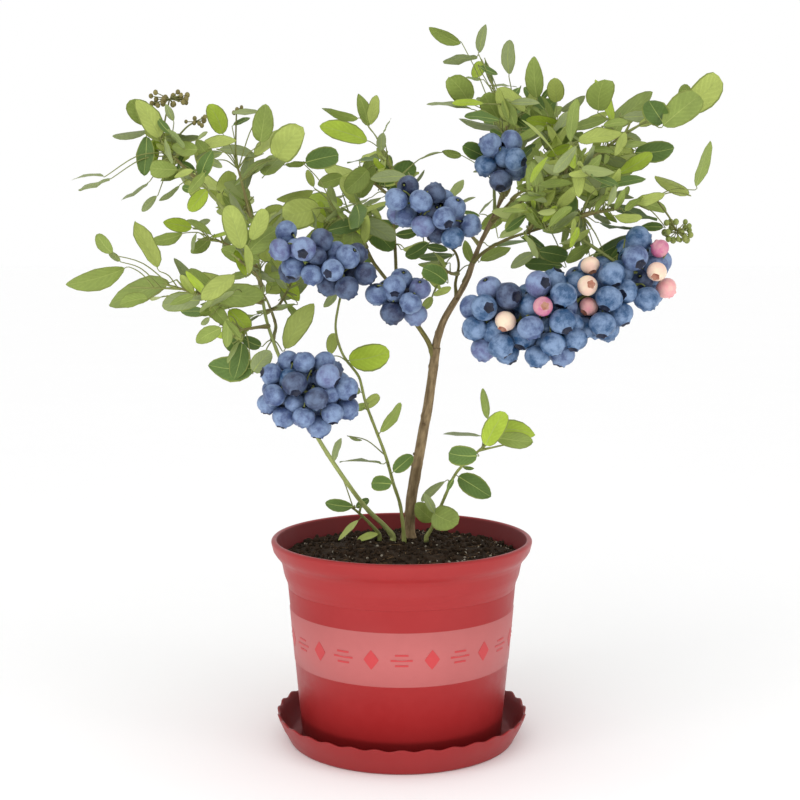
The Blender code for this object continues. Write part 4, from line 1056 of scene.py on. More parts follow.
def deep_leaves(name, growth, rng):
    """Leaves that reach forwards and backwards, so that a mass is full from its sides."""
    leaves = []
    for shoot in growth.shoots[name]:
        if not is_covered([shoot.way[1]]):
            continue
        for k in range(max(1, round(lengths_along(shoot.way)[-1] / DEEP_LEAF_SPACING))):
            place = point_at(shoot.way, rng.uniform(0.2, 1.0))[0]
            axis = Vector((rng.uniform(-0.5, 0.5), rng.choice((-1.0, 1.0)),
                           rng.uniform(-0.3, 0.6))).normalized()
            top = Vector((rng.uniform(-0.8, 0.8), rng.uniform(-0.5, 0.5), 1.0))
            side = axis.cross(top).normalized()
            leaf = Leaf(place, axis, side, side.cross(axis), rng.uniform(*DEEP_LEAF))
            if leaf_is_free(leaf, name, growth):
                leaves.append(leaf)
    return leaves


def side_leaves(name, shoots, growth, rng):
    """The leaves of a mass's finer twigs, clear of those that its solid has."""
    size = MASSES[name].get("leaf", SIDE_LEAF_LENGTH)
    slots = []
    for shoot in shoots:
        slots.append((shoot.way[-1], shoot.heading, 0.0, (shoot.leaf, shoot.leaf)))
        for share, swing in ((0.75, -LEAF_SPREAD), (0.4, LEAF_SPREAD)):
            slots.append((*point_at(shoot.way, share), swing, size))

    def is_free(leaf):
        tip = leaf.root + leaf.axis * leaf.length
        return is_within(name, tip, 3.0) and not is_crossed(leaf, growth.leaves[name]) \
            and leaf_is_free(leaf, name, growth)

    return grow_leaves(slots, rng, is_free)


def back_berries(growth, rng):
    """Berries for the inside and the back of each cluster, clear of what is there."""
    added = []
    for name, spec in FRUIT.items():
        for lobe in spec["lobes"]:
            for _ in range(BACK_BERRY_TRIES * lobe["count"]):
                radius = rng.uniform(*BERRY_RADIUS) * BACK_BERRY_SIZE
                turn, out = rng.uniform(0.0, 2.0 * math.pi), 0.95 * math.sqrt(rng.random())
                half = lobe["half"]
                place = Vector(lobe["centre"]) + Vector((half[0] * out * math.cos(turn),
                                                         half[1] * rng.uniform(-0.5, 1.5),
                                                         half[2] * out * math.sin(turn)))
                if min(growth.limbs.clearance(place),
                       growth.skeleton.clearance(place)) < radius + BERRY_SPACE:
                    continue
                if all((place - b[0]).length > (radius + b[1]) * BACK_BERRY_PACKING
                       for b in growth.berries + added):
                    added.append([place, radius, name])
    return added


def colour(red, green, blue):
    """A linear colour from the 0 to 255 values that a screen shows."""
    return tuple(((c / 255.0 + 0.055) / 1.055) ** 2.4 for c in (red, green, blue))


class Batch:
    """Small shapes gathered into one mesh, with a material slot for every face."""

    def __init__(self):
        self.points, self.faces, self.slots, self.corners = [], [], [], []
        self.size = 0

    def add(self, points, faces, slots, corners=None):
        """Take a shape: its points, its faces, their slots, and each corner's own place."""
        self.points.append(np.asarray(points, dtype=float))
        self.faces += [tuple(i + self.size for i in face) for face in faces]
        self.slots += [slots] * len(faces) if isinstance(slots, int) else list(slots)
        if corners is None:
            corners = np.zeros((sum(len(face) for face in faces), 2))
        self.corners.append(np.asarray(corners, dtype=float))
        self.size += len(points)

    def to_object(self, name, materials):
        """Make the mesh and its object."""
        mesh = bpy.data.meshes.new(name)
        mesh.from_pydata(np.concatenate(self.points) * MM, [], self.faces)
        layer = mesh.uv_layers.new(name="along")
        layer.data.foreach_set("uv", np.concatenate(self.corners).ravel())
        for material in materials:
            mesh.materials.append(material)
        mesh.polygons.foreach_set("material_index", self.slots)
        mesh.shade_smooth()
        obj = bpy.data.objects.new(name, mesh)
        bpy.context.scene.collection.objects.link(obj)
        return obj


def evenly(way, radii, spacing):
    """Points and radii at an even spacing along a way, and how far along each one is."""
    points = np.array([tuple(p) for p in way])
    along = np.array(lengths_along(way))
    count = max(2, int(along[-1] / spacing) + 1)
    wanted = np.linspace(0.0, along[-1], count)
    places = np.stack([np.interp(wanted, along, points[:, i]) for i in range(3)], axis=1)
    return places, np.interp(wanted, along, radii), wanted


def bands(rows, around, closed=True, inwards=False):
    """The four-sided faces between rows of points, closed into rings or left open."""
    faces = []
    for i in range(rows - 1):
        for j in range(around if closed else around - 1):
            k = (j + 1) % around
            face = (i * around + j, i * around + k, (i + 1) * around + k, (i + 1) * around + j)
            faces.append((face[0], *face[:0:-1]) if inwards else face)
    return faces


def ball():
    """A round lump of unit radius: its points and its faces."""
    bm = bmesh.new()
    bmesh.ops.create_icosphere(bm, subdivisions=2, radius=1.0)
    points = np.array([tuple(v.co) for v in bm.verts])
    faces = [tuple(v.index for v in f.verts) for f in bm.faces]
    bm.free()
    return points, faces


def tube(batch, way, radii, sides, slot=0, spacing=3.0, swell=None):
    """Add a closed tube along a way; swell changes its radius with the turn and distance."""
    places, sizes, along = evenly(way, radii, spacing)
    ahead = np.gradient(places, axis=0)
    ahead /= np.linalg.norm(ahead, axis=1)[:, None]
    turns = np.arange(sides) * 2.0 * math.pi / sides
    side = np.cross(ahead[0], (0.3, 0.9, 0.2))
    points = []
    for place, heading, radius, distance in zip(places, ahead, sizes, along):
        side = side - heading * side.dot(heading)
        side = side / np.linalg.norm(side)
        up = np.cross(heading, side)
        reach = np.full(sides, radius)
        if swell:
            reach = reach * swell(turns, distance)
        points.append(place + reach[:, None] * (np.cos(turns)[:, None] * side
                                                + np.sin(turns)[:, None] * up))
    corners = []
    for low, high in zip(along * MM, along[1:] * MM):
        for j in range(sides):
            corners += [(j / sides, low), ((j + 1) / sides, low), ((j + 1) / sides, high),
                        (j / sides, high)]
    last = (len(places) - 1) * sides
    faces = bands(len(places), sides)
    faces += [tuple(reversed(range(sides))), tuple(range(last, last + sides))]
    corners += [(0.0, 0.0)] * sides + [(0.0, along[-1] * MM)] * sides
    batch.add(np.concatenate(points), faces, slot, corners)


def turned(name, outline, steps, material):
    """Turn an outline of (radius, height) round the Z axis."""
    mesh = bpy.data.meshes.new(name)
    bm = bmesh.new()
    points = [bm.verts.new((r * MM, 0.0, z * MM)) for r, z in outline]
    for first, second in zip(points, points[1:]):
        bm.edges.new((first, second))
    bm.to_mesh(mesh)
    bm.free()
    obj = bpy.data.objects.new(name, mesh)
    bpy.context.scene.collection.objects.link(obj)
    screw = obj.modifiers.new("turn", "SCREW")
    screw.steps = screw.render_steps = steps
    screw.use_merge_vertices = True
    screw.merge_threshold = 0.0001
    bpy.context.view_layer.update()
    depsgraph = bpy.context.evaluated_depsgraph_get()
    obj.data = bpy.data.meshes.new_from_object(obj.evaluated_get(depsgraph))
    obj.modifiers.clear()
    bpy.data.meshes.remove(mesh)
    obj.data.materials.clear()
    obj.data.materials.append(material)
    obj.data.shade_smooth()
    obj.data.set_sharp_from_angle(angle=math.radians(50.0))
    return obj


def eased(outline, share=0.25, steps=3):
    """An outline with each inner corner cut to a small round."""
    points = [Vector(p) for p in outline]
    result = [points[0]]
    for before, corner, after in zip(points, points[1:], points[2:]):
        first = corner.lerp(before, min(share, CORNER_ROUND / (corner - before).length))
        last = corner.lerp(after, min(share, CORNER_ROUND / (corner - after).length))
        for k in range(steps + 1):
            t = k / steps
            result.append(first.lerp(corner, t).lerp(corner.lerp(last, t), t))
    return [tuple(p) for p in result + [points[-1]]]


class Nodes:
    """A node tree that is being filled in."""

    def __init__(self, tree):
        self.tree = tree

    def give(self, socket, value):
        """Link another node's output to a socket, or set the socket's value."""
        if isinstance(value, bpy.types.NodeSocket):
            self.tree.links.new(value, socket)
        else:
            socket.default_value = (*value, 1.0) if socket.type == "RGBA" else value

    def add(self, kind, inputs=(), **settings):
        """Add a node with its settings and its inputs."""
        node = self.tree.nodes.new(kind)
        for key, value in settings.items():
            setattr(node, key, value)
        for key, value in dict(inputs).items():
            self.give(node.inputs[key], value)
        return node

    def mix(self, share, first, second):
        """Blend two colours by a share from 0 to 1."""
        return self.add("ShaderNodeMix", {0: share, 6: first, 7: second},
                        data_type="RGBA").outputs[2]

    def noise(self, place, scale, detail=4.0, low=0.35, high=0.65):
        """A noise pattern over the surface, stretched to run from 0 to 1."""
        grain = self.add("ShaderNodeTexNoise", {"Vector": place, "Scale": scale,
                                                "Detail": detail, "Roughness": 0.6})
        spread = self.add("ShaderNodeMapRange", {"Value": grain.outputs["Fac"],
                                                 "From Min": low, "From Max": high})
        return spread.outputs["Result"]

    def around(self):
        """A place on the surface, from the object's own axes."""
        return self.add("ShaderNodeTexCoord").outputs["Object"]

    def times(self, first, second):
        """The product of two values."""
        return self.maths("MULTIPLY", first, second)

    def maths(self, operation, first, second=0.5, third=0.5):
        """The result of a sum, product or other operation on values."""
        return self.add("ShaderNodeMath", {0: first, 1: second, 2: third},
                        operation=operation).outputs[0]

    def effect(self, name, **inputs):
        """Place one of the shared effects, with this material's own values."""
        return self.add("ShaderNodeGroup", {key.title(): value for key, value in inputs.items()},
                        node_tree=build_effect(name)).outputs


def build_effect(name):
    """A shared effect as a shader node group, built the first time it is asked for."""
    if name in bpy.data.node_groups:
        return bpy.data.node_groups[name]
    inputs, outputs, fill = EFFECTS[name]
    tree = bpy.data.node_groups.new(name, "ShaderNodeTree")
    for label, value in inputs.items():
        kind = COLOR if isinstance(value, tuple) else VALUE
        socket = tree.interface.new_socket(label, in_out="INPUT", socket_type=kind)
        socket.default_value = (*value, 1.0) if kind == COLOR else value
    for label, kind in outputs.items():
        tree.interface.new_socket(label, in_out="OUTPUT", socket_type=kind)
    nodes = Nodes(tree)
    given = nodes.add("NodeGroupInput").outputs
    nodes.add("NodeGroupOutput", fill(nodes, given))
    return tree


def fill_mottle(nodes, given):
    """Soft patches between two colours, with a finer grain in them."""
    broad = nodes.noise(nodes.around(), given["Scale"])
    finer = nodes.noise(nodes.around(), nodes.times(given["Scale"], 6.0))
    mask = nodes.maths("MULTIPLY_ADD", finer, 0.35, nodes.times(broad, 0.65))
    share = nodes.times(mask, given["Amount"])
    return {"Color": nodes.mix(share, given["Main"], given["Other"]), "Mask": mask}


def fill_grain(nodes, given):
    """A fine uneven relief."""
    height = nodes.noise(nodes.around(), given["Scale"], low=0.2, high=0.8)
    bump = nodes.add("ShaderNodeBump", {"Height": height, "Distance": given["Depth"],
                                        "Strength": 1.0})
    return {"Normal": bump.outputs["Normal"]}


def fill_streaks(nodes, given):
    """Bark streaks that run along a limb, from the limb's own places."""
    place = nodes.add("ShaderNodeUVMap", uv_map="along").outputs["UV"]
    stretched = nodes.add("ShaderNodeMapping", {"Vector": place, "Scale": (7.0, 55.0, 1.0)})
    streak = nodes.noise(stretched.outputs["Vector"], 1.0, detail=6.0)
    blotch = nodes.noise(nodes.around(), given["Blotches"], low=0.45, high=0.6)
    body = nodes.mix(streak, given["Dark"], given["Light"])
    result = nodes.mix(nodes.times(blotch, 0.45), body, given["Dark"])
    return {"Color": result, "Height": streak}


def fill_veins(nodes, given):
    """A leaf's side veins and net, from each leaf's own places."""
    place = nodes.add("ShaderNodeUVMap", uv_map="along").outputs["UV"]
    across, along = nodes.add("ShaderNodeSeparateXYZ", {"Vector": place}).outputs[:2]
    off_rib = nodes.maths("ABSOLUTE", nodes.maths("SUBTRACT", across, 0.5))
    rise = nodes.maths("MULTIPLY_ADD", off_rib, -0.75, along)
    wave = nodes.maths("SINE", nodes.times(rise, given["Veins"]))
    narrow = nodes.maths("POWER", nodes.maths("ABSOLUTE", wave), 0.35)
    vein = nodes.maths("SUBTRACT", 1.0, narrow)
    net = nodes.noise(nodes.around(), 900.0, detail=2.0)
    body = nodes.mix(nodes.times(net, 0.16), given["Blade"], given["Vein"])
    return {"Color": nodes.mix(nodes.times(vein, 0.45), body, given["Vein"])}


def fill_bloom(nodes, given):
    """The pale waxy bloom on a berry: thick in patches, rubbed off in others."""
    patch = nodes.noise(nodes.around(), given["Patches"], detail=3.0, low=0.38, high=0.62)
    speck = nodes.noise(nodes.around(), 1400.0, detail=2.0)
    mask = nodes.maths("MULTIPLY_ADD", speck, 0.18, nodes.times(patch, 0.82))
    share = nodes.times(mask, given["Amount"])
    return {"Color": nodes.mix(share, given["Skin"], given["Bloom"]), "Mask": mask}


COLOR, VALUE, VECTOR = "NodeSocketColor", "NodeSocketFloat", "NodeSocketVector"
GREY = (0.5, 0.5, 0.5)
EFFECTS = {
    "mottle": ({"Main": GREY, "Other": GREY, "Scale": 40.0, "Amount": 0.5},
               {"Color": COLOR, "Mask": VALUE}, fill_mottle),
    "grain": ({"Scale": 400.0, "Depth": 0.0001}, {"Normal": VECTOR}, fill_grain),
    "streaks": ({"Dark": GREY, "Light": GREY, "Blotches": 60.0},
                {"Color": COLOR, "Height": VALUE}, fill_streaks),
    "veins": ({"Blade": GREY, "Vein": GREY, "Veins": 22.0}, {"Color": COLOR}, fill_veins),
    "bloom": ({"Skin": GREY, "Bloom": GREY, "Amount": 0.6, "Patches": 110.0},
              {"Color": COLOR, "Mask": VALUE}, fill_bloom),
}


def finish(name, roughness, specular):
    """A material with a Principled shader, and its nodes to fill in."""
    material = bpy.data.materials.new(name)
    material.use_nodes = True
    shader = material.node_tree.nodes["Principled BSDF"]
    shader.inputs["Roughness"].default_value = roughness
    shader.inputs["Specular IOR Level"].default_value = specular
    return material, Nodes(material.node_tree), shader


def feed(nodes, shader, **links):
    """Link outputs to the shader's sockets."""
    for key, output in links.items():
        nodes.tree.links.new(output, shader.inputs[key.replace("_", " ").title()])


def shade(main, times, plus=0.0):
    """A colour made lighter or darker."""
    return tuple(min(1.0, c * times + plus) for c in main)


def plastic(name, main, roughness=0.36):
    """Moulded plastic: faint flow marks, a fine skin and uneven gloss."""
    material, nodes, shader = finish(name, roughness, 0.3)
    marks = nodes.effect("mottle", main=main, other=shade(main, 1.3, 0.01), scale=18.0,
                         amount=0.22)
    gloss = nodes.maths("MULTIPLY_ADD", marks["Mask"], 0.16, roughness - 0.06)
    grain = nodes.effect("grain", scale=900.0, depth=0.00003)
    feed(nodes, shader, base_color=marks["Color"], roughness=gloss, normal=grain["Normal"])
    return material


def earthy(name, main, other, scale):
    """Peat, crumbs and other loose matt stuff."""
    material, nodes, shader = finish(name, 0.95, 0.2)
    mottle = nodes.effect("mottle", main=main, other=other, scale=scale, amount=0.9)
    grain = nodes.effect("grain", scale=scale * 3.0, depth=0.0006)
    feed(nodes, shader, base_color=mottle["Color"], normal=grain["Normal"])
    return material


def bark(name, dark, light, roughness=0.78, depth=0.0004):
    """Bark with lengthwise streaks and darker blotches."""
    material, nodes, shader = finish(name, roughness, 0.3)
    streaks = nodes.effect("streaks", dark=dark, light=light)
    bump = nodes.add("ShaderNodeBump", {"Height": streaks["Height"], "Distance": depth})
    feed(nodes, shader, base_color=streaks["Color"], normal=bump.outputs["Normal"])
    return material


def leaf_skin(name, blade, settings, veins=True):
    """A matt leaf: veins and mottling above, a paler underside."""
    material, nodes, shader = finish(name, settings.gloss, 0.35)
    upper = blade
    if veins:
        upper = nodes.effect("veins", blade=blade, vein=shade(blade, 1.5, 0.02))["Color"]
    mottle = nodes.effect("mottle", main=upper, other=shade(blade, 0.62), scale=55.0,
                          amount=0.5)
    back = nodes.add("ShaderNodeNewGeometry").outputs["Backfacing"]
    under = nodes.mix(0.4, mottle["Color"], settings.underside)
    grain = nodes.effect("grain", scale=500.0, depth=0.00012)
    feed(nodes, shader, base_color=nodes.mix(back, mottle["Color"], under),
         normal=grain["Normal"])
    return material


def berry_skin(name, skin, bloom, amount, roughness=0.5):
    """A berry's skin under its bloom."""
    material, nodes, shader = finish(name, roughness, 0.4)
    coat = nodes.effect("bloom", skin=skin, bloom=bloom, amount=amount)
    dull = nodes.maths("MULTIPLY_ADD", coat["Mask"], 0.25, roughness - 0.12)
    grain = nodes.effect("grain", scale=700.0, depth=0.00008)
    feed(nodes, shader, base_color=coat["Color"], roughness=dull, normal=grain["Normal"])
    return material


def set_in(piece, slot, *nodes):
    """Ride a finished piece on the frame, in place of the solids that it stands for."""
    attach(piece, "root")
    if nodes:
        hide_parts(*nodes)
    return {"FINISHED"}


def pot_outline():
    """The pot's outline: inside, rolled lip, bell collar, ribs, wall, band and foot."""
    foot = SAUCER_FLOOR + GAP
    inside = [(0.0, foot + POT_FLOOR), (POT_FOOT_RADIUS - POT_WALL, foot + POT_FLOOR),
              (wall_radius(130) - POT_WALL, 130), (102.4, 150), (104.4, 161)]
    lip = []
    for angle in range(180, -21, -20):
        turn = math.radians(angle)
        lip.append((POT_LIP_RADIUS - POT_LIP_ROLL + POT_LIP_ROLL * math.cos(turn),
                    POT_HEIGHT - POT_LIP_ROLL + POT_LIP_ROLL * math.sin(turn)))
    collar = [(113.4, 170.5), (111.0, 166.6), (108.0, 163.2), (106.0, 159.6), (105.0, 155.0),
              (104.2, 150.4), (103.2, 147.2), (102.2, 144.6), (101.2, 142.0)]
    wall = [(wall_radius(height) + out, height + up) for height, out, up in (
        (138.6, 0.0, 0.0), (138.0, -0.35, 0.0), (137.4, 0.0, 0.0),
        (BAND_HIGH, 0.0, BAND_RISE), (BAND_HIGH, BAND_RISE, 0.0),
        (BAND_LOW, BAND_RISE, 0.0), (BAND_LOW, 0.0, -BAND_RISE))]
    bottom = [(POT_FOOT_RADIUS, foot + 1.5), (POT_FOOT_RADIUS - 1.5, foot), (0.0, foot)]
    return inside + lip + eased(collar) + wall + bottom


def plate(batch, outline, angle, height, slot=0):
    """A thin raised plate bent round the band, from an outline of (across, up)."""
    points, count = [], len(outline)
    for rise in (-0.2, ORNAMENT_RISE):
        for across, up in outline:
            radius = wall_radius(height + up) + BAND_RISE + rise
            turn = angle + across / wall_radius(height)
            points.append((radius * math.cos(turn), radius * math.sin(turn), height + up))
    faces = [tuple(range(count, 2 * count))]
    faces += [(k, (k + 1) % count, count + (k + 1) % count, count + k) for k in range(count)]
    batch.add(points, faces, slot)


def oval(half_across, half_up, count, power=1.0):
    """An outline from a round to a lozenge, as (across, up)."""
    result = []
    for k in range(count):
        turn = 2.0 * math.pi * k / count
        c, s = math.cos(turn), math.sin(turn)
        shrink = (abs(c) + abs(s)) ** -power
        result.append((half_across * c * shrink, half_up * s * shrink))
    return result


class BUSH_OT_pot(bpy.types.Operator):
    """Turn the pot on its own axis, set its band off in a paler plastic, and darken its inside as
    painted shade
    """

    bl_idname = "bush.pot"
    bl_label = "Pot"

    def execute(self, context):
        look = context.scene.bush_pot
        body = plastic("pot_plastic", look.plastic)
        pot = turned("pot_wall", pot_outline(), look.steps, body)
        pot.data.materials.append(plastic("band_plastic", look.band, 0.42))
        # Painted shade: the pot's inside gets the darker inside colour, darkened again to 0.7
        pot.data.materials.append(plastic("pot_inside_painted_shade", shade(look.inside, 0.7), 0.55))
        for face in pot.data.polygons:
            height = face.center.z / MM
            outwards = face.normal.x * face.center.x + face.normal.y * face.center.y > 0.0
            if outwards and BAND_LOW - BAND_RISE < height < BAND_HIGH + BAND_RISE:
                face.material_index = 1
            # Inward faces below the lip's top carry the painted shade of the inside
            if not outwards and height < POT_HEIGHT - INSIDE_SHADE_BELOW_LIP:
                face.material_index = 2
        set_in(pot, "pot", "pot")
        batch = Batch()
        middle = (BAND_LOW + BAND_HIGH) / 2.0
        for k in range(look.ornaments):
            angle = 2.0 * math.pi * (k + 0.5) / look.ornaments
            plate(batch, oval(6.5, 8.5, 16, 0.9), angle, middle)
            for up in (-4.5, 0.0, 4.5):
                between = angle + math.pi / look.ornaments
                bar = 9.0 if up == 0.0 else 5.5
                plate(batch, [(-bar, up - 0.8), (0.0, up - 0.8), (bar, up - 0.8),
                              (bar, up + 0.8), (0.0, up + 0.8), (-bar, up + 0.8)],
                      between, middle)
        ornament = batch.to_object("band_ornament", [plastic("ornament_red", look.ornament, 0.4)])
        ornament.data.set_sharp_from_angle(angle=math.radians(30.0))
        return set_in(ornament, "pot")


class BUSH_OT_saucer(bpy.types.Operator):
    """Turn the saucer and raise the waves of its edge; its plastic is darkened as painted shade
    """

    bl_idname = "bush.saucer"
    bl_label = "Saucer"

    def execute(self, context):
        look = context.scene.bush_pot
        rim, top, foot = SAUCER_RIM_RADIUS, SAUCER_HEIGHT, SAUCER_FOOT_RADIUS
        outline = [(0.0, SAUCER_FLOOR), (foot - 4.0, SAUCER_FLOOR), (foot - 1.0, 4.0),
                   (rim - 6.6, 13.0), (rim - 3.6, 19.5), (rim - 2.0, top - 0.4),
                   (rim - 1.6, top), (rim - 0.4, top), (rim, top - 0.6), (rim - 1.4, 19.0),
                   (rim - 4.6, 12.0), (foot + 2.6, 6.0), (foot + 0.6, 2.0),
                   (foot - 0.2, 0.7), (foot - 1.8, 0.0), (foot - 8.0, 0.0),
                   (foot - 9.0, 0.6), (0.0, 0.6)]
        # Painted shade: the saucer gets the pot's plastic darkened to 0.8, and its inside the
        # darker inside colour
        saucer = turned("saucer_dish", outline, look.steps * 2,
                        plastic("saucer_plastic_painted_shade", shade(look.plastic, 0.8), 0.4))
        saucer.data.materials.append(plastic("saucer_inside_painted_shade", look.inside, 0.45))
        start = WAVE_START * MM
        for vertex in saucer.data.vertices:
            share = (vertex.co.z - start) / (SAUCER_HEIGHT * MM - start)
            if share > 0.0:
                turn = SAUCER_WAVES * math.atan2(vertex.co.y, vertex.co.x)
                wave = share * math.cos(turn)
                grow = 1.0 + WAVE_FLARE * MM * wave / math.hypot(vertex.co.x, vertex.co.y)
                vertex.co.x *= grow
                vertex.co.y *= grow
                vertex.co.z += WAVE_RISE * MM * wave
        # Inward and upward faces below the rim carry the saucer's painted inner shade
        for face in saucer.data.polygons:
            inwards = face.normal.x * face.center.x + face.normal.y * face.center.y < 0.0
            if (inwards or face.normal.z > 0.9) and face.center.z < (SAUCER_HEIGHT - 2.0) * MM:
                face.material_index = 1 if face.normal.z > -0.5 else 0
        return set_in(saucer, "saucer", "saucer")


def soil_height(radius):
    """The level of the soil: flat round the stems, sloping down to the pot."""
    return float(np.interp(radius, (0.0, SOIL_LEVEL_RADIUS, 85.0, 104.0),
                           (SOIL_TOP, SOIL_TOP, 167.5, SOIL_EDGE)))


class BUSH_OT_soil(bpy.types.Operator):
    """Lay the soil, with its lumps, crumbs, fibres and pale grit"""

    bl_idname = "bush.soil"
    bl_label = "Soil"

    def execute(self, context):
        look = context.scene.bush_soil
        rings, steps, wall = 60, 150, SOIL_REACH
        points = []
        for i in range(rings + 1):
            radius = min(wall * (i + 0.02) / rings, wall)
            for j in range(steps):
                turn = 2.0 * math.pi * j / steps
                x, y = radius * math.cos(turn), radius * math.sin(turn)
                rise = noise.noise(Vector((x, y, 3.0)) * 0.06) * 1.6
                rise += noise.noise(Vector((x, y, 9.0)) * 0.22) * look.lumps / MM
                rise *= min(1.0, (wall - radius) / 4.0 + 0.3)
                points.append((x, y, soil_height(radius) + rise - 0.4))
        bed = Batch()
        bed.add(points, bands(rings + 1, steps, inwards=True) + [tuple(range(steps))], 0)
        peat = earthy("peat", look.peat, look.crumb, 160.0)
        set_in(bed.to_object("soil_bed", [peat]), "soil", "soil")

        rng = random.Random("crumbs")
        lump, faces = ball()
        crumbs = Batch()
        for _ in range(look.crumbs):
            radius = wall * math.sqrt(rng.random()) * 0.985
            turn = rng.uniform(0.0, 2.0 * math.pi)
            kind = rng.choices(range(4), CRUMB_SHARES)[0]
            size = 0.5 + 2.1 * rng.random() ** 3 if kind < 2 else rng.uniform(0.4, 1.2)
            radius = min(radius, wall - size * 1.5)
            stretch = (rng.uniform(3.0, 7.0), 0.35, 0.3) if kind == FIBRE else \
                [rng.uniform(0.6, 1.3) for _ in range(3)]
            yaw = rng.uniform(0.0, 2.0 * math.pi)
            shape = lump * (np.array(stretch) * size)
            shape = shape * np.array([[rng.uniform(0.8, 1.15)] for _ in lump])
            x, y = shape[:, 0].copy(), shape[:, 1].copy()
            shape[:, 0] = x * math.cos(yaw) - y * math.sin(yaw)
            shape[:, 1] = x * math.sin(yaw) + y * math.cos(yaw)
            shape += (radius * math.cos(turn), radius * math.sin(turn),
                      soil_height(radius) + size * 0.35)
            if np.hypot(shape[:, 0], shape[:, 1]).max() < wall:
                crumbs.add(shape, faces, kind)
        stuff = [peat, earthy("crumb_brown", look.crumb, look.peat, 300.0),
                 earthy("pale_grit", look.grit, look.crumb, 500.0),
                 earthy("fibre", look.fibre, look.crumb, 400.0)]
        return set_in(crumbs.to_object("soil_crumbs", stuff), "soil")


def woody(depth, collar, nodes_apart=0.0, offset=0.0):
    """How a limb's radius changes: ridges, a collar where it starts, and swollen nodes."""
    def swell(turns, distance):
        result = []
        for turn in turns:
            c, s = math.cos(turn), math.sin(turn)
            broad = noise.noise(Vector((c, s, distance * 0.045 + offset)))
            ridge = noise.noise(Vector((c * 3.2, s * 3.2, distance * 0.02 + offset)))
            fine = noise.noise(Vector((c * 6.0, s * 6.0, distance * 0.12 + offset)))
            value = 1.0 + depth * (1.2 * broad + ridge + 0.6 * fine)
            value += collar * math.exp(-(distance / 7.0) ** 2)
            if nodes_apart:
                off = (distance + offset) % nodes_apart - nodes_apart * 0.5
                value += 0.16 * math.exp(-(off / 2.2) ** 2) * (0.6 + 0.4 * math.cos(turn + off))
            result.append(value)
        return np.array(result)
    return swell


def shown_way(name, growth):
    """A limb's way, begun inside what carries it so that no gap shows."""
    way = list(growth.ways[name])
    spec = LIMBS.get(name) or MASSES.get(name) or FRUIT[name]
    if spec.get("at") == 1.0:
        way[0] = way[0] - (way[1] - way[0]).normalized() * 3.0
    return fine_way(way)


class BUSH_OT_bark(bpy.types.Operator):
    """Clothe the trunk and the boughs in ridged bark, and the young stems in green"""

    bl_idname = "bush.bark"
    bl_label = "Bark"

    def execute(self, context):
        look = context.scene.bush_bark
        growth = grown()
        old, young = Batch(), Batch()
        for i, (name, spec) in enumerate(LIMBS.items()):
            way = shown_way(name, growth)
            radii = taper(way, spec["radii"], spec.get("flare", 0.0))
            girth = np.interp(lengths_along(way), (0.0, lengths_along(way)[-1]),
                              GIRTH.get(name, GIRTH["other"]))
            radii = [radius * share for radius, share in zip(radii, girth)]
            collar = 0.0 if spec["parent"] is None or "at" in spec else 0.45
            if name in YOUNG_LIMBS:
                tube(young, way, radii, 14, 0, 1.6, woody(look.relief * 0.3, collar, 34.0, i))
            else:
                sides, slot = (28, 0) if name in STOUT_LIMBS else (16, 2)
                tube(old, way, radii, sides, slot, 1.2, woody(look.relief, collar, 46.0, i * 7.0))
        for name, share, turn, size, reach in STUBS:
            place = point_at(growth.ways[name], share)[0]
            out = Vector((math.cos(turn), math.sin(turn), 0.25)).normalized()
            way = [place, place + out * reach * 0.6, place + out * reach]
            tube(old, way, [size, size * 0.8, size * 0.7], 10, 1, 1.0, woody(0.1, 0.3))
        woods = [bark("bark", look.dark, look.light), bark("bark_stub", look.dark, look.dark),
                 bark("bark_of_boughs", look.bough_dark, look.bough)]
        limbs = [name for name in LIMBS if name not in YOUNG_LIMBS]
        set_in(old.to_object("bark_of_trunk_and_boughs", woods), "wood", *limbs)
        greens = [bark("young_bark", look.young_dark, look.young, 0.6, 0.0001)]
        return set_in(young.to_object("bark_of_young_stems", greens), "green_stem",
                      *YOUNG_LIMBS)


def leaf_grid():
    """Shares along a leaf's blade, and its columns: (share of half width, part of rib)."""
    rows = [0.5 - 0.5 * math.cos(math.pi * k / LEAF_ROWS) for k in range(LEAF_ROWS + 1)]
    return rows, [(-1.0, 0), (-0.88, 0), (-0.45, 0), (0.0, -1), (0.0, 1), (0.45, 0),
                  (0.88, 0), (1.0, 0)]


def bend_in(points, shares):
    """Bend a leaf that passes the box of the solids back into it, most at its tip."""
    for axis in range(3):
        low, high = SOLID_BOX[0][axis] / MM, SOLID_BOX[1][axis] / MM
        if low <= min(p[axis] for p in points) and max(p[axis] for p in points) <= high:
            continue
        back = max(0.0, max((low - p[axis]) / share for p, share in zip(points, shares)))
        back -= max(0.0, max((p[axis] - high) / share for p, share in zip(points, shares)))
        for point, share in zip(points, shares):
            point[axis] += back * share


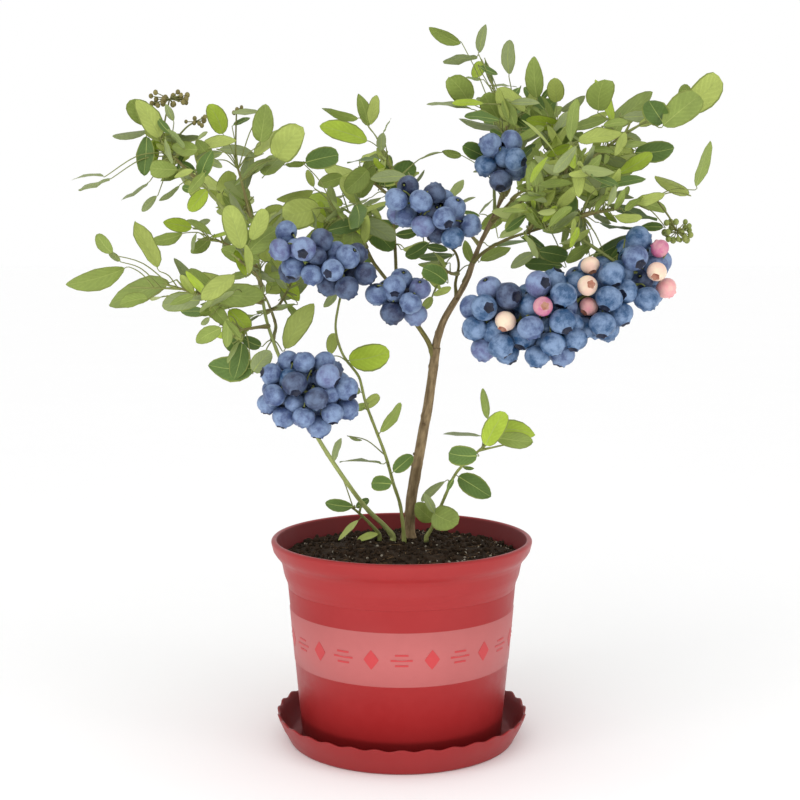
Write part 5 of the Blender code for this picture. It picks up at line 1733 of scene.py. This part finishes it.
def add_leaf(batch, leaf, slot, look, rng, wide):
    """A leaf with a pointed oval outline, folded along its rib, curled and a little waved."""
    rows, columns = leaf_grid()
    length = leaf.length
    blunt = max(0.0, min(1.0, (wide - 0.4) / 0.2))
    rise = rng.uniform(0.56, 0.74) - 0.18 * blunt
    fall = rng.uniform(0.56, 0.84) - 0.3 * blunt
    widest = rise / (rise + fall)
    full = widest ** rise * (1.0 - widest) ** fall
    fold = math.tan(look.fold) * rng.uniform(0.3, 1.3)
    droop = look.droop * rng.uniform(-0.5, 1.5)
    twist = rng.uniform(-0.35, 0.35)
    wave, phase = rng.uniform(0.0, 0.03), rng.uniform(0.0, 6.28)
    skew = rng.uniform(-0.05, 0.05)
    points = []
    for share in rows:
        half = max(0.015, share ** rise * (1.0 - share) ** fall / full) * wide * 0.5 * length
        rib = min(0.34 * (1.1 - share * 0.8), half * 0.5)
        turn = twist * share
        side = leaf.side * math.cos(turn) + leaf.out * math.sin(turn)
        out = leaf.out * math.cos(turn) - leaf.side * math.sin(turn)
        base = leaf.root + leaf.axis * length * (PETIOLE + (1.0 - PETIOLE) * share)
        base += leaf.side * skew * length * math.sin(share * math.pi)
        base -= leaf.out * droop * length * (share * share - 0.5 * share)
        for reach, part in columns:
            across = part * rib if part else reach * half
            if not part and abs(across) < rib:
                across = math.copysign(rib, reach)
            lift = fold * abs(across) * (1.0 - 0.35 * abs(reach))
            ripple = wave * length * math.sin(share * 12.0 + phase + (2.0 if reach > 0 else 0.0))
            lift += ripple * reach * reach
            points.append(base + side * across + out * lift)
    width = len(columns)
    bend_in(points, [max(share, 0.1) for share in rows for _ in columns])
    slots, corners = [], []
    for low, high in zip(rows, rows[1:]):
        for j in range(width - 1):
            slots.append(0 if j == width // 2 - 1 else 1 if j in (0, width - 2) else slot)
            left, right = (columns[j][0] + 1) / 2, (columns[j + 1][0] + 1) / 2
            corners += [(left, low), (right, low), (right, high), (left, high)]
    batch.add([tuple(p) for p in points], bands(len(rows), width, closed=False), slots, corners)


def blade_places(leaf):
    """Places on a leaf that tell whether it shows against the sky."""
    return [leaf.root + leaf.axis * leaf.length * share for share in (0.25, 0.5, 0.75, 0.95)] \
        + [leaf.root + leaf.axis * leaf.length * 0.5 + leaf.side * leaf.length * k * 0.18
           for k in (-1, 1)]


def neck_of(leaf):
    """Where a leaf's stalk ends, just inside its blade."""
    return leaf.root + leaf.axis * leaf.length * (PETIOLE + 0.015)


class BUSH_OT_foliage(bpy.types.Operator):
    """Grow the twigs and the leaves of every mass, and carry them on to finer twigs"""

    bl_idname = "bush.foliage"
    bl_label = "Foliage"

    def execute(self, context):
        look = context.scene.bush_foliage
        growth = grown()
        twigs, blades = Batch(), Batch()
        lines, placed = [], []
        for name, spec in MASSES.items():
            way = shown_way(name, growth)
            lines.append(way)
            stem_slot = 0 if name.startswith("sprig") else 1
            tube(twigs, way, taper(way, STEM_SHOWN), 8, stem_slot, 2.5, woody(0.06, 0.4, 14.0))
            for shoot in growth.shoots[name]:
                start, end = shoot.way
                if is_covered([end]) or spec["count"] < 3:
                    lines.append(shoot.way)
                    line = fine_way([start, start.lerp(end, 0.5), end])
                    tube(twigs, line, taper(line, SHOOT_SHOWN), 6, 0, 3.0, woody(0.06, 0.3, 11.0))
        rng = random.Random("seen leaves")
        for leaf, line, wide, tone in seen_leaves(lines, rng):
            add_leaf(blades, leaf, 2 + tone, look, rng, wide)
            line = fine_way(line + [neck_of(leaf)])
            tube(twigs, line, taper(line, LONG_STALK), 5, 0, 2.5)
            placed.append(leaf)
        for name in MASSES:
            rng = random.Random(name + " dressed")
            finer = side_shoots(name, growth, rng)
            leaves = growth.leaves[name] + side_leaves(name, finer, growth, rng)
            leaves += deep_leaves(name, growth, rng)
            tones = TONES.get(name, TONES["other"])
            for leaf in leaves:
                tone = rng.choices(range(len(tones)), tones)[0]
                tip = leaf.root + leaf.axis * leaf.length
                if not is_covered(blade_places(leaf)) or not is_covered([tip]) \
                        or hides_fruit(leaf):
                    continue
                near = [other for other in placed
                        if (other.root - leaf.root).length < other.length + leaf.length]
                if is_crossed(leaf, near):
                    continue
                placed.append(leaf)
                add_leaf(blades, leaf, 2 + tone, look, rng,
                         CORE_LEAF_WIDTH if name in CORE_MASSES else LEAF_WIDTH)
                tube(twigs, [leaf.root - leaf.axis * 0.4, neck_of(leaf)], LEAF_STALK, 5, 0, 2.0)
                for shoot in list(finer):
                    if (nearest_on(shoot.way, leaf.root) - leaf.root).length < 0.5:
                        finer.remove(shoot)
                        tube(twigs, shoot.way, TWIG_SHOWN, 5, 0, 4.0)
        skins = [leaf_skin("leaf_rib", look.rib, look, False),
                 leaf_skin("leaf_margin", look.margin, look, False)]
        for label in ("fresh", "mid", "grey", "deep", "bright"):
            skins.append(leaf_skin("leaf_" + label, getattr(look, label), look))
        set_in(blades.to_object("leaves", skins), "leaf", *MASSES)
        woods = [bark("twig_green", look.twig_dark, look.twig, 0.6, 0.0001),
                 bark("twig_brown", look.twig_brown, look.twig, 0.7, 0.0002)]
        return set_in(twigs.to_object("twigs", woods), "green_stem")


def berry_shape():
    """A berry of unit radius with its crown upwards: points, faces and their parts."""
    segments = 20
    rings = [(0.0, 0.80, 0.0), (0.17, 0.79, 0.0), (0.27, 0.90, 0.6), (0.36, 0.965, 1.0),
             (0.43, 0.925, 0.5)]
    for k in range(9):
        angle = math.radians(32.0 + k * 17.0)
        rings.append((math.sin(angle), math.cos(angle) * 0.93, 0.0))
    points = []
    for radius, height, lobe in rings:
        for j in range(segments):
            turn = 2.0 * math.pi * j / segments
            star = 0.5 + 0.5 * math.cos(5.0 * turn)
            reach = max(radius, 0.004) * (1.0 + 0.28 * lobe * star)
            points.append((reach * math.cos(turn), reach * math.sin(turn),
                           height + 0.06 * lobe * (star - 0.4)))
    faces = bands(len(rings), segments, inwards=True)
    parts = [i // segments for i in range(len(faces))] + [len(rings), 0]
    last = (len(rings) - 1) * segments
    faces += [tuple(range(last, last + segments)), tuple(reversed(range(segments)))]
    return np.array(points), faces, parts


def berry_turn(outward, spin):
    """The three axes of a berry whose crown points outward."""
    z = outward.normalized()
    x = z.cross(Vector((0.2, 0.9, 0.35))).normalized()
    y = z.cross(x)
    return np.array([tuple(x * math.cos(spin) + y * math.sin(spin)),
                     tuple(y * math.cos(spin) - x * math.sin(spin)), tuple(z)])


class BUSH_OT_fruit(bpy.types.Operator):
    """Hang the clusters: ripe berries under their bloom, and a few that are still pale"""

    bl_idname = "bush.fruit"
    bl_label = "Fruit"

    def execute(self, context):
        look = context.scene.bush_fruit
        growth = grown()
        rng = random.Random("berries")
        stalks, fruit = Batch(), Batch()
        shape, faces, parts = berry_shape()
        unripe = {}
        for x, z, kind in UNRIPE:
            front = [b for b in growth.berries if b[2] == "fruit_right" and id(b) not in unripe]
            near = min(front, key=lambda b: (b[0].x - x) ** 2 + (b[0].z - z) ** 2
                       + (0.7 * (b[0].y - UNRIPE_DEPTH)) ** 2)
            unripe[id(near)] = kind
        for berry in growth.berries + back_berries(growth, rng):
            place, radius, name = berry
            foot = nearest_on(growth.ways[name], place)
            away = place - foot
            outward = away.normalized() * 0.7 + Vector((rng.uniform(-0.7, 0.7),
                                                        rng.uniform(-0.4, 0.8),
                                                        rng.uniform(-1.3, -0.1)))
            tones = SKINS.get(name, SKINS["other"])
            slot = 2 + rng.choices(range(len(tones)), tones)[0]
            crown = 0
            if id(berry) in unripe:
                slot, crown = 6 + unripe[id(berry)], 1
                radius *= UNRIPE_SIZE
            else:
                radius *= SWELL.get(name, SWELL["other"])
            slots = [crown if part < 3 else slot for part in parts]
            squash = np.array((1.0, 1.0, rng.uniform(0.9, 0.97)))
            points = shape * squash * radius @ berry_turn(outward, rng.uniform(0, 6.28))
            fruit.add(points + np.array(tuple(place)), faces, slots)
            if away.length > radius * 0.5:
                root = place - outward.normalized() * radius * 0.9
                bend = foot.lerp(root, 0.6) + Vector((0.0, 0.0, 1.5))
                line = fine_way([foot, bend, root])
                tube(stalks, line, taper(line, BERRY_STALK), 5, 0, 2.0)
        for name, spec in FRUIT.items():
            line = shown_way(name, growth)
            tube(stalks, line, taper(line, CLUSTER_STALK), 8, 0, 2.5, woody(0.05, 0.3, 12.0))
        full = look.bloom_amount
        skins = [berry_skin(*row) for row in (
            ("calyx", look.calyx, look.skin, 0.16), ("calyx_rust", look.rust, look.cream, 0.3),
            ("berry_blue", look.skin, look.bloom, full),
            ("berry_steel", look.steel, look.bloom, full),
            ("berry_navy", look.navy, look.bloom, full * 0.5),
            ("berry_violet", look.violet, look.bloom, full),
            ("berry_cream", look.cream, look.pink, 0.35),
            ("berry_pink", look.pink, look.cream, 0.5),
            ("berry_magenta", look.magenta, look.cream, 0.35))]
        set_in(fruit.to_object("berries", skins), "fruit", *FRUIT)
        green = [bark("stalk_green", look.stalk, look.stalk, 0.6, 0.0001)]
        return set_in(stalks.to_object("fruit_stalks", green), "green_stem")


class BUSH_OT_buds(bpy.types.Operator):
    """Add the brown bud clusters and the small green fruit at the crown's edges"""

    bl_idname = "bush.buds"
    bl_label = "Buds and green fruit"

    def execute(self, context):
        look = context.scene.bush_fruit
        growth = grown()
        rng = random.Random("buds")
        batch = Batch()
        lump, faces = ball()
        for mass, centre, half, count, size, slot in BUD_CLUSTERS:
            middle = Vector(centre)
            ways = [growth.ways[mass]] + [shoot.way for shoot in growth.shoots[mass]]
            foot = min((nearest_on(way, middle) for way in ways),
                       key=lambda place: (place - middle).length)
            line = fine_way([foot, foot.lerp(middle, 0.6) + Vector((0, 0, 2.0)), middle])
            tube(batch, line, taper(line, (0.9, 0.7)), 6, 2, 2.5)
            for _ in range(count):
                spot = middle + Vector([rng.uniform(-h, h) for h in half])
                radius = size * rng.uniform(0.8, 1.15)
                batch.add(lump * (radius, radius, radius * 1.15) + np.array(tuple(spot)),
                          faces, slot)
                tube(batch, [middle.lerp(spot, 0.1), spot], (0.5, 0.4), 5, 2, 3.0)
        skins = [berry_skin("bud_brown", look.bud, look.bud_light, 0.6, 0.7),
                 berry_skin("fruit_green", look.green, look.bud_light, 0.3, 0.5),
                 bark("bud_stalk", look.stalk, look.bud, 0.7, 0.0001)]
        return set_in(batch.to_object("buds", skins), "fruit")


def place_lamp(name, kind, energy, turn, place=(0.0, 0.0, 0.0), **settings):
    """A lamp with its power, its turn in degrees and its place."""
    light = bpy.data.lights.new(name, kind)
    light.energy = energy
    for key, value in settings.items():
        setattr(light, key, value)
    lamp = bpy.data.objects.new(name, light)
    lamp.location = place
    lamp.rotation_euler = [math.radians(a) for a in turn]
    bpy.context.scene.collection.objects.link(lamp)
    return lamp


class BUSH_OT_stage(bpy.types.Operator):
    """Set the pale floor, the soft studio light and the camera"""

    bl_idname = "bush.stage"
    bl_label = "Stage"

    def execute(self, context):
        look = context.scene.bush_stage
        scene = context.scene
        mesh = bpy.data.meshes.new("floor")
        bm = bmesh.new()
        bmesh.ops.create_grid(bm, x_segments=2, y_segments=2, size=look.floor_reach)
        bm.to_mesh(mesh)
        bm.free()
        floor = bpy.data.objects.new("floor", mesh)
        scene.collection.objects.link(floor)
        material, nodes, shader = finish("pale_floor", 0.9, 0.1)
        mottle = nodes.effect("mottle", main=look.floor, other=shade(look.floor, 0.985),
                              scale=2.0, amount=0.5)
        feed(nodes, shader, base_color=mottle["Color"])
        mesh.materials.append(material)

        world = bpy.data.worlds.new("studio")
        world.use_nodes = True
        nodes = Nodes(world.node_tree)
        seen = nodes.add("ShaderNodeLightPath").outputs["Is Camera Ray"]
        level = nodes.add("ShaderNodeMix", {0: seen, 2: look.sky, 3: 1.0})
        background = world.node_tree.nodes["Background"]
        nodes.give(background.inputs["Strength"], level.outputs[0])
        nodes.give(background.inputs["Color"], (1.0, 1.0, 1.0))
        scene.world = world
        place_lamp("key", "SUN", look.key, (50.0, -6.0, -30.0), angle=math.radians(45.0))
        place_lamp("fill", "SUN", look.fill, (58.0, 0.0, 40.0), angle=math.radians(60.0))
        for name, place, turn, wide, high, share in PANELS:
            lamp = place_lamp(name, "AREA", look.panels * share, turn, place,
                              shape="RECTANGLE", size=wide, size_y=high)
            lamp.visible_camera = lamp.visible_glossy = False

        camera = bpy.data.cameras.new("camera")
        camera.sensor_width = SENSOR
        camera.lens = look.lens
        camera.shift_x = SHIFT
        camera.clip_start = 0.05
        camera.clip_end = 200.0
        eye = bpy.data.objects.new("camera", camera)
        eye.location = (0.0, -look.distance, look.height)
        eye.rotation_euler = (math.pi / 2.0 - look.tilt, 0.0, 0.0)
        scene.collection.objects.link(eye)
        scene.camera = eye
        scene.view_settings.view_transform = "Standard"
        return {"FINISHED"}


def number(label, description, default, **more):
    """A size or share that a user may change."""
    return bpy.props.FloatProperty(name=label, description=description, default=default, **more)


def whole(label, description, default, lowest, highest):
    """A whole number that a user may change."""
    return bpy.props.IntProperty(name=label, description=description, default=default,
                                 min=lowest, max=highest)


def tint(label, description, *shown):
    """A colour that a user may change, from the 0 to 255 values that a screen shows."""
    return bpy.props.FloatVectorProperty(name=label, description=description, size=3, min=0.0,
                                         max=1.0, subtype="COLOR", default=colour(*shown))


class PotSettings(bpy.types.PropertyGroup):
    steps: whole("Steps", "Steps in a full turn of the pot", 160, 24, 512)
    ornaments: whole("Ornaments", "Lozenges round the pot's band", 12, 0, 40)
    # The saucer takes this colour darkened to 0.8, as painted shade
    plastic: tint("Plastic", "Colour of the pot and the saucer", 145, 34, 35)
    band: tint("Band", "Colour of the pot's raised band", 164, 87, 86)
    ornament: tint("Ornament", "Colour of the lozenges and bars", 172, 54, 57)
    # Painted shade: a darker maroon for the saucer's inside, darkened again for the pot's inside
    inside: tint("Saucer inside", "Colour of the saucer's inside", 132, 34, 36)


class SoilSettings(bpy.types.PropertyGroup):
    crumbs: whole("Crumbs", "Loose crumbs on the soil", 2200, 0, 5000)
    lumps: number("Lumps", "Height of the soil's lumps", 0.0016, min=0.0, max=0.01,
                  unit="LENGTH")
    peat: tint("Peat", "Colour of the moist peat", 30, 22, 13)
    crumb: tint("Crumbs", "Colour of the drier crumbs", 62, 46, 32)
    grit: tint("Grit", "Colour of the pale grit", 196, 188, 170)
    fibre: tint("Fibre", "Colour of the fibres", 140, 112, 78)


class BarkSettings(bpy.types.PropertyGroup):
    relief: number("Relief", "Depth of the ridges, as a share of the radius", 0.1, min=0.0,
                   max=0.5, subtype="FACTOR")
    light: tint("Light bark", "Colour of the bark's ridges", 164, 142, 106)
    dark: tint("Dark bark", "Colour of the bark's grooves and blotches", 102, 84, 58)
    bough: tint("Bough", "Colour of the thinner boughs", 138, 130, 76)
    bough_dark: tint("Bough, dark", "Colour of the thinner boughs' grooves", 98, 92, 50)
    young: tint("Young bark", "Colour of the green stems", 166, 178, 108)
    young_dark: tint("Young bark, dark", "Colour of the green stems' streaks", 134, 140, 80)


class FoliageSettings(bpy.types.PropertyGroup):
    fold: number("Fold", "How far each half of a leaf lifts", math.radians(15.0),
                 subtype="ANGLE")
    droop: number("Droop", "How far a leaf's tip drops, against its length", 0.12, min=-0.5,
                  max=0.5)
    gloss: number("Roughness", "Roughness of the leaves", 0.52, min=0.0, max=1.0,
                  subtype="FACTOR")
    fresh: tint("Fresh", "Yellow-green leaves", 164, 177, 88)
    mid: tint("Middle", "Mid-green leaves", 133, 150, 70)
    grey: tint("Grey", "Grey-green leaves", 136, 148, 96)
    deep: tint("Deep", "Dark green leaves", 88, 114, 48)
    bright: tint("Bright", "Bright green leaves", 156, 178, 52)
    rib: tint("Rib", "Colour of the midrib", 160, 174, 92)
    margin: tint("Margin", "Colour of the leaf's edge", 128, 140, 64)
    underside: tint("Underside", "Colour of the leaf's back", 168, 178, 122)
    twig: tint("Twig", "Colour of the young twigs", 150, 158, 92)
    twig_dark: tint("Twig, dark", "Colour of the twigs' streaks", 116, 122, 62)
    twig_brown: tint("Twig, brown", "Colour of the older twigs", 112, 92, 60)


class FruitSettings(bpy.types.PropertyGroup):
    bloom_amount: number("Bloom", "How thick the bloom lies", 0.75, min=0.0, max=1.0,
                         subtype="FACTOR")
    skin: tint("Blue", "Ripe blue-violet skin", 60, 75, 116)
    steel: tint("Steel", "Ripe steel-blue skin", 26, 68, 108)
    navy: tint("Navy", "Skin that has lost its bloom", 36, 42, 72)
    violet: tint("Violet", "Ripe violet skin", 88, 92, 134)
    bloom: tint("Bloom", "The pale bloom", 142, 165, 198)
    calyx: tint("Crown", "The dark crown of a ripe berry", 22, 26, 42)
    cream: tint("Cream", "Unripe cream skin", 236, 214, 186)
    pink: tint("Pink", "Ripening pink skin", 226, 150, 158)
    magenta: tint("Magenta", "Ripening magenta skin", 190, 96, 140)
    rust: tint("Rust", "The crown of an unripe berry", 150, 78, 56)
    stalk: tint("Stalk", "Fruit stalks", 128, 136, 76)
    green: tint("Green fruit", "Small green fruit", 126, 140, 66)
    bud: tint("Bud", "Brown buds", 104, 94, 52)
    bud_light: tint("Bud, light", "Light side of the buds", 160, 152, 92)


class StageSettings(bpy.types.PropertyGroup):
    distance: number("Distance", "Camera to the pot's axis", -EYE.y, unit="LENGTH")
    height: number("Height", "Height of the camera", EYE.z, unit="LENGTH")
    tilt: number("Tilt", "How far the camera looks down", EYE_TILT, subtype="ANGLE")
    lens: number("Lens", "Focal length, in millimetres", LENS, min=10.0, max=300.0)
    floor_reach: number("Floor", "Half the floor's width", 60.0, unit="LENGTH")
    sky: number("Sky", "Strength of the light all round", 0.9, min=0.0)
    key: number("Key", "Strength of the main light", 0.4, min=0.0)
    fill: number("Fill", "Strength of the second light", 0.2, min=0.0)
    panels: number("Panels", "Power of the side panels", 2.2, min=0.0, unit="POWER")
    floor: bpy.props.FloatVectorProperty(name="Floor colour", description="Colour of the floor",
                                         size=3, subtype="COLOR", min=0.0, max=1.0,
                                         default=(0.985, 0.985, 0.985))


class BUSH_PT_panel(bpy.types.Panel):
    """Lists the pieces of the bush and their settings"""

    bl_idname = "BUSH_PT_panel"
    bl_label = "Blueberry Bush"
    bl_space_type = "VIEW_3D"
    bl_region_type = "UI"
    bl_category = "Blueberry Bush"

    def draw(self, context):
        for operator, settings in PIECES:
            box = self.layout.box()
            box.operator(operator.bl_idname)
            if settings:
                group = getattr(context.scene, settings)
                for key in group.bl_rna.properties.keys():
                    if key not in ("rna_type", "name"):
                        box.prop(group, key)


SETTINGS = {"bush_pot": PotSettings, "bush_soil": SoilSettings, "bush_bark": BarkSettings,
            "bush_foliage": FoliageSettings, "bush_fruit": FruitSettings,
            "bush_stage": StageSettings}
PIECES = ((BUSH_OT_pot, "bush_pot"), (BUSH_OT_saucer, None), (BUSH_OT_soil, "bush_soil"),
          (BUSH_OT_bark, "bush_bark"), (BUSH_OT_foliage, "bush_foliage"),
          (BUSH_OT_fruit, "bush_fruit"), (BUSH_OT_buds, None), (BUSH_OT_stage, "bush_stage"))


def register():
    for name, kind in SETTINGS.items():
        bpy.utils.register_class(kind)
        setattr(bpy.types.Scene, name, bpy.props.PointerProperty(type=kind))
    for operator, _ in PIECES:
        bpy.utils.register_class(operator)
    bpy.utils.register_class(BUSH_PT_panel)


def unregister():
    bpy.utils.unregister_class(BUSH_PT_panel)
    for operator, _ in reversed(PIECES):
        bpy.utils.unregister_class(operator)
    for name, kind in reversed(SETTINGS.items()):
        delattr(bpy.types.Scene, name)
        bpy.utils.unregister_class(kind)


def main():
    register()
    bpy.ops.bush.pot()
    bpy.ops.bush.saucer()
    bpy.ops.bush.soil()
    bpy.ops.bush.bark()
    bpy.ops.bush.foliage()
    bpy.ops.bush.fruit()
    bpy.ops.bush.buds()
    bpy.ops.bush.stage()
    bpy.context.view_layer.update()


if __name__ == "__main__":
    main()
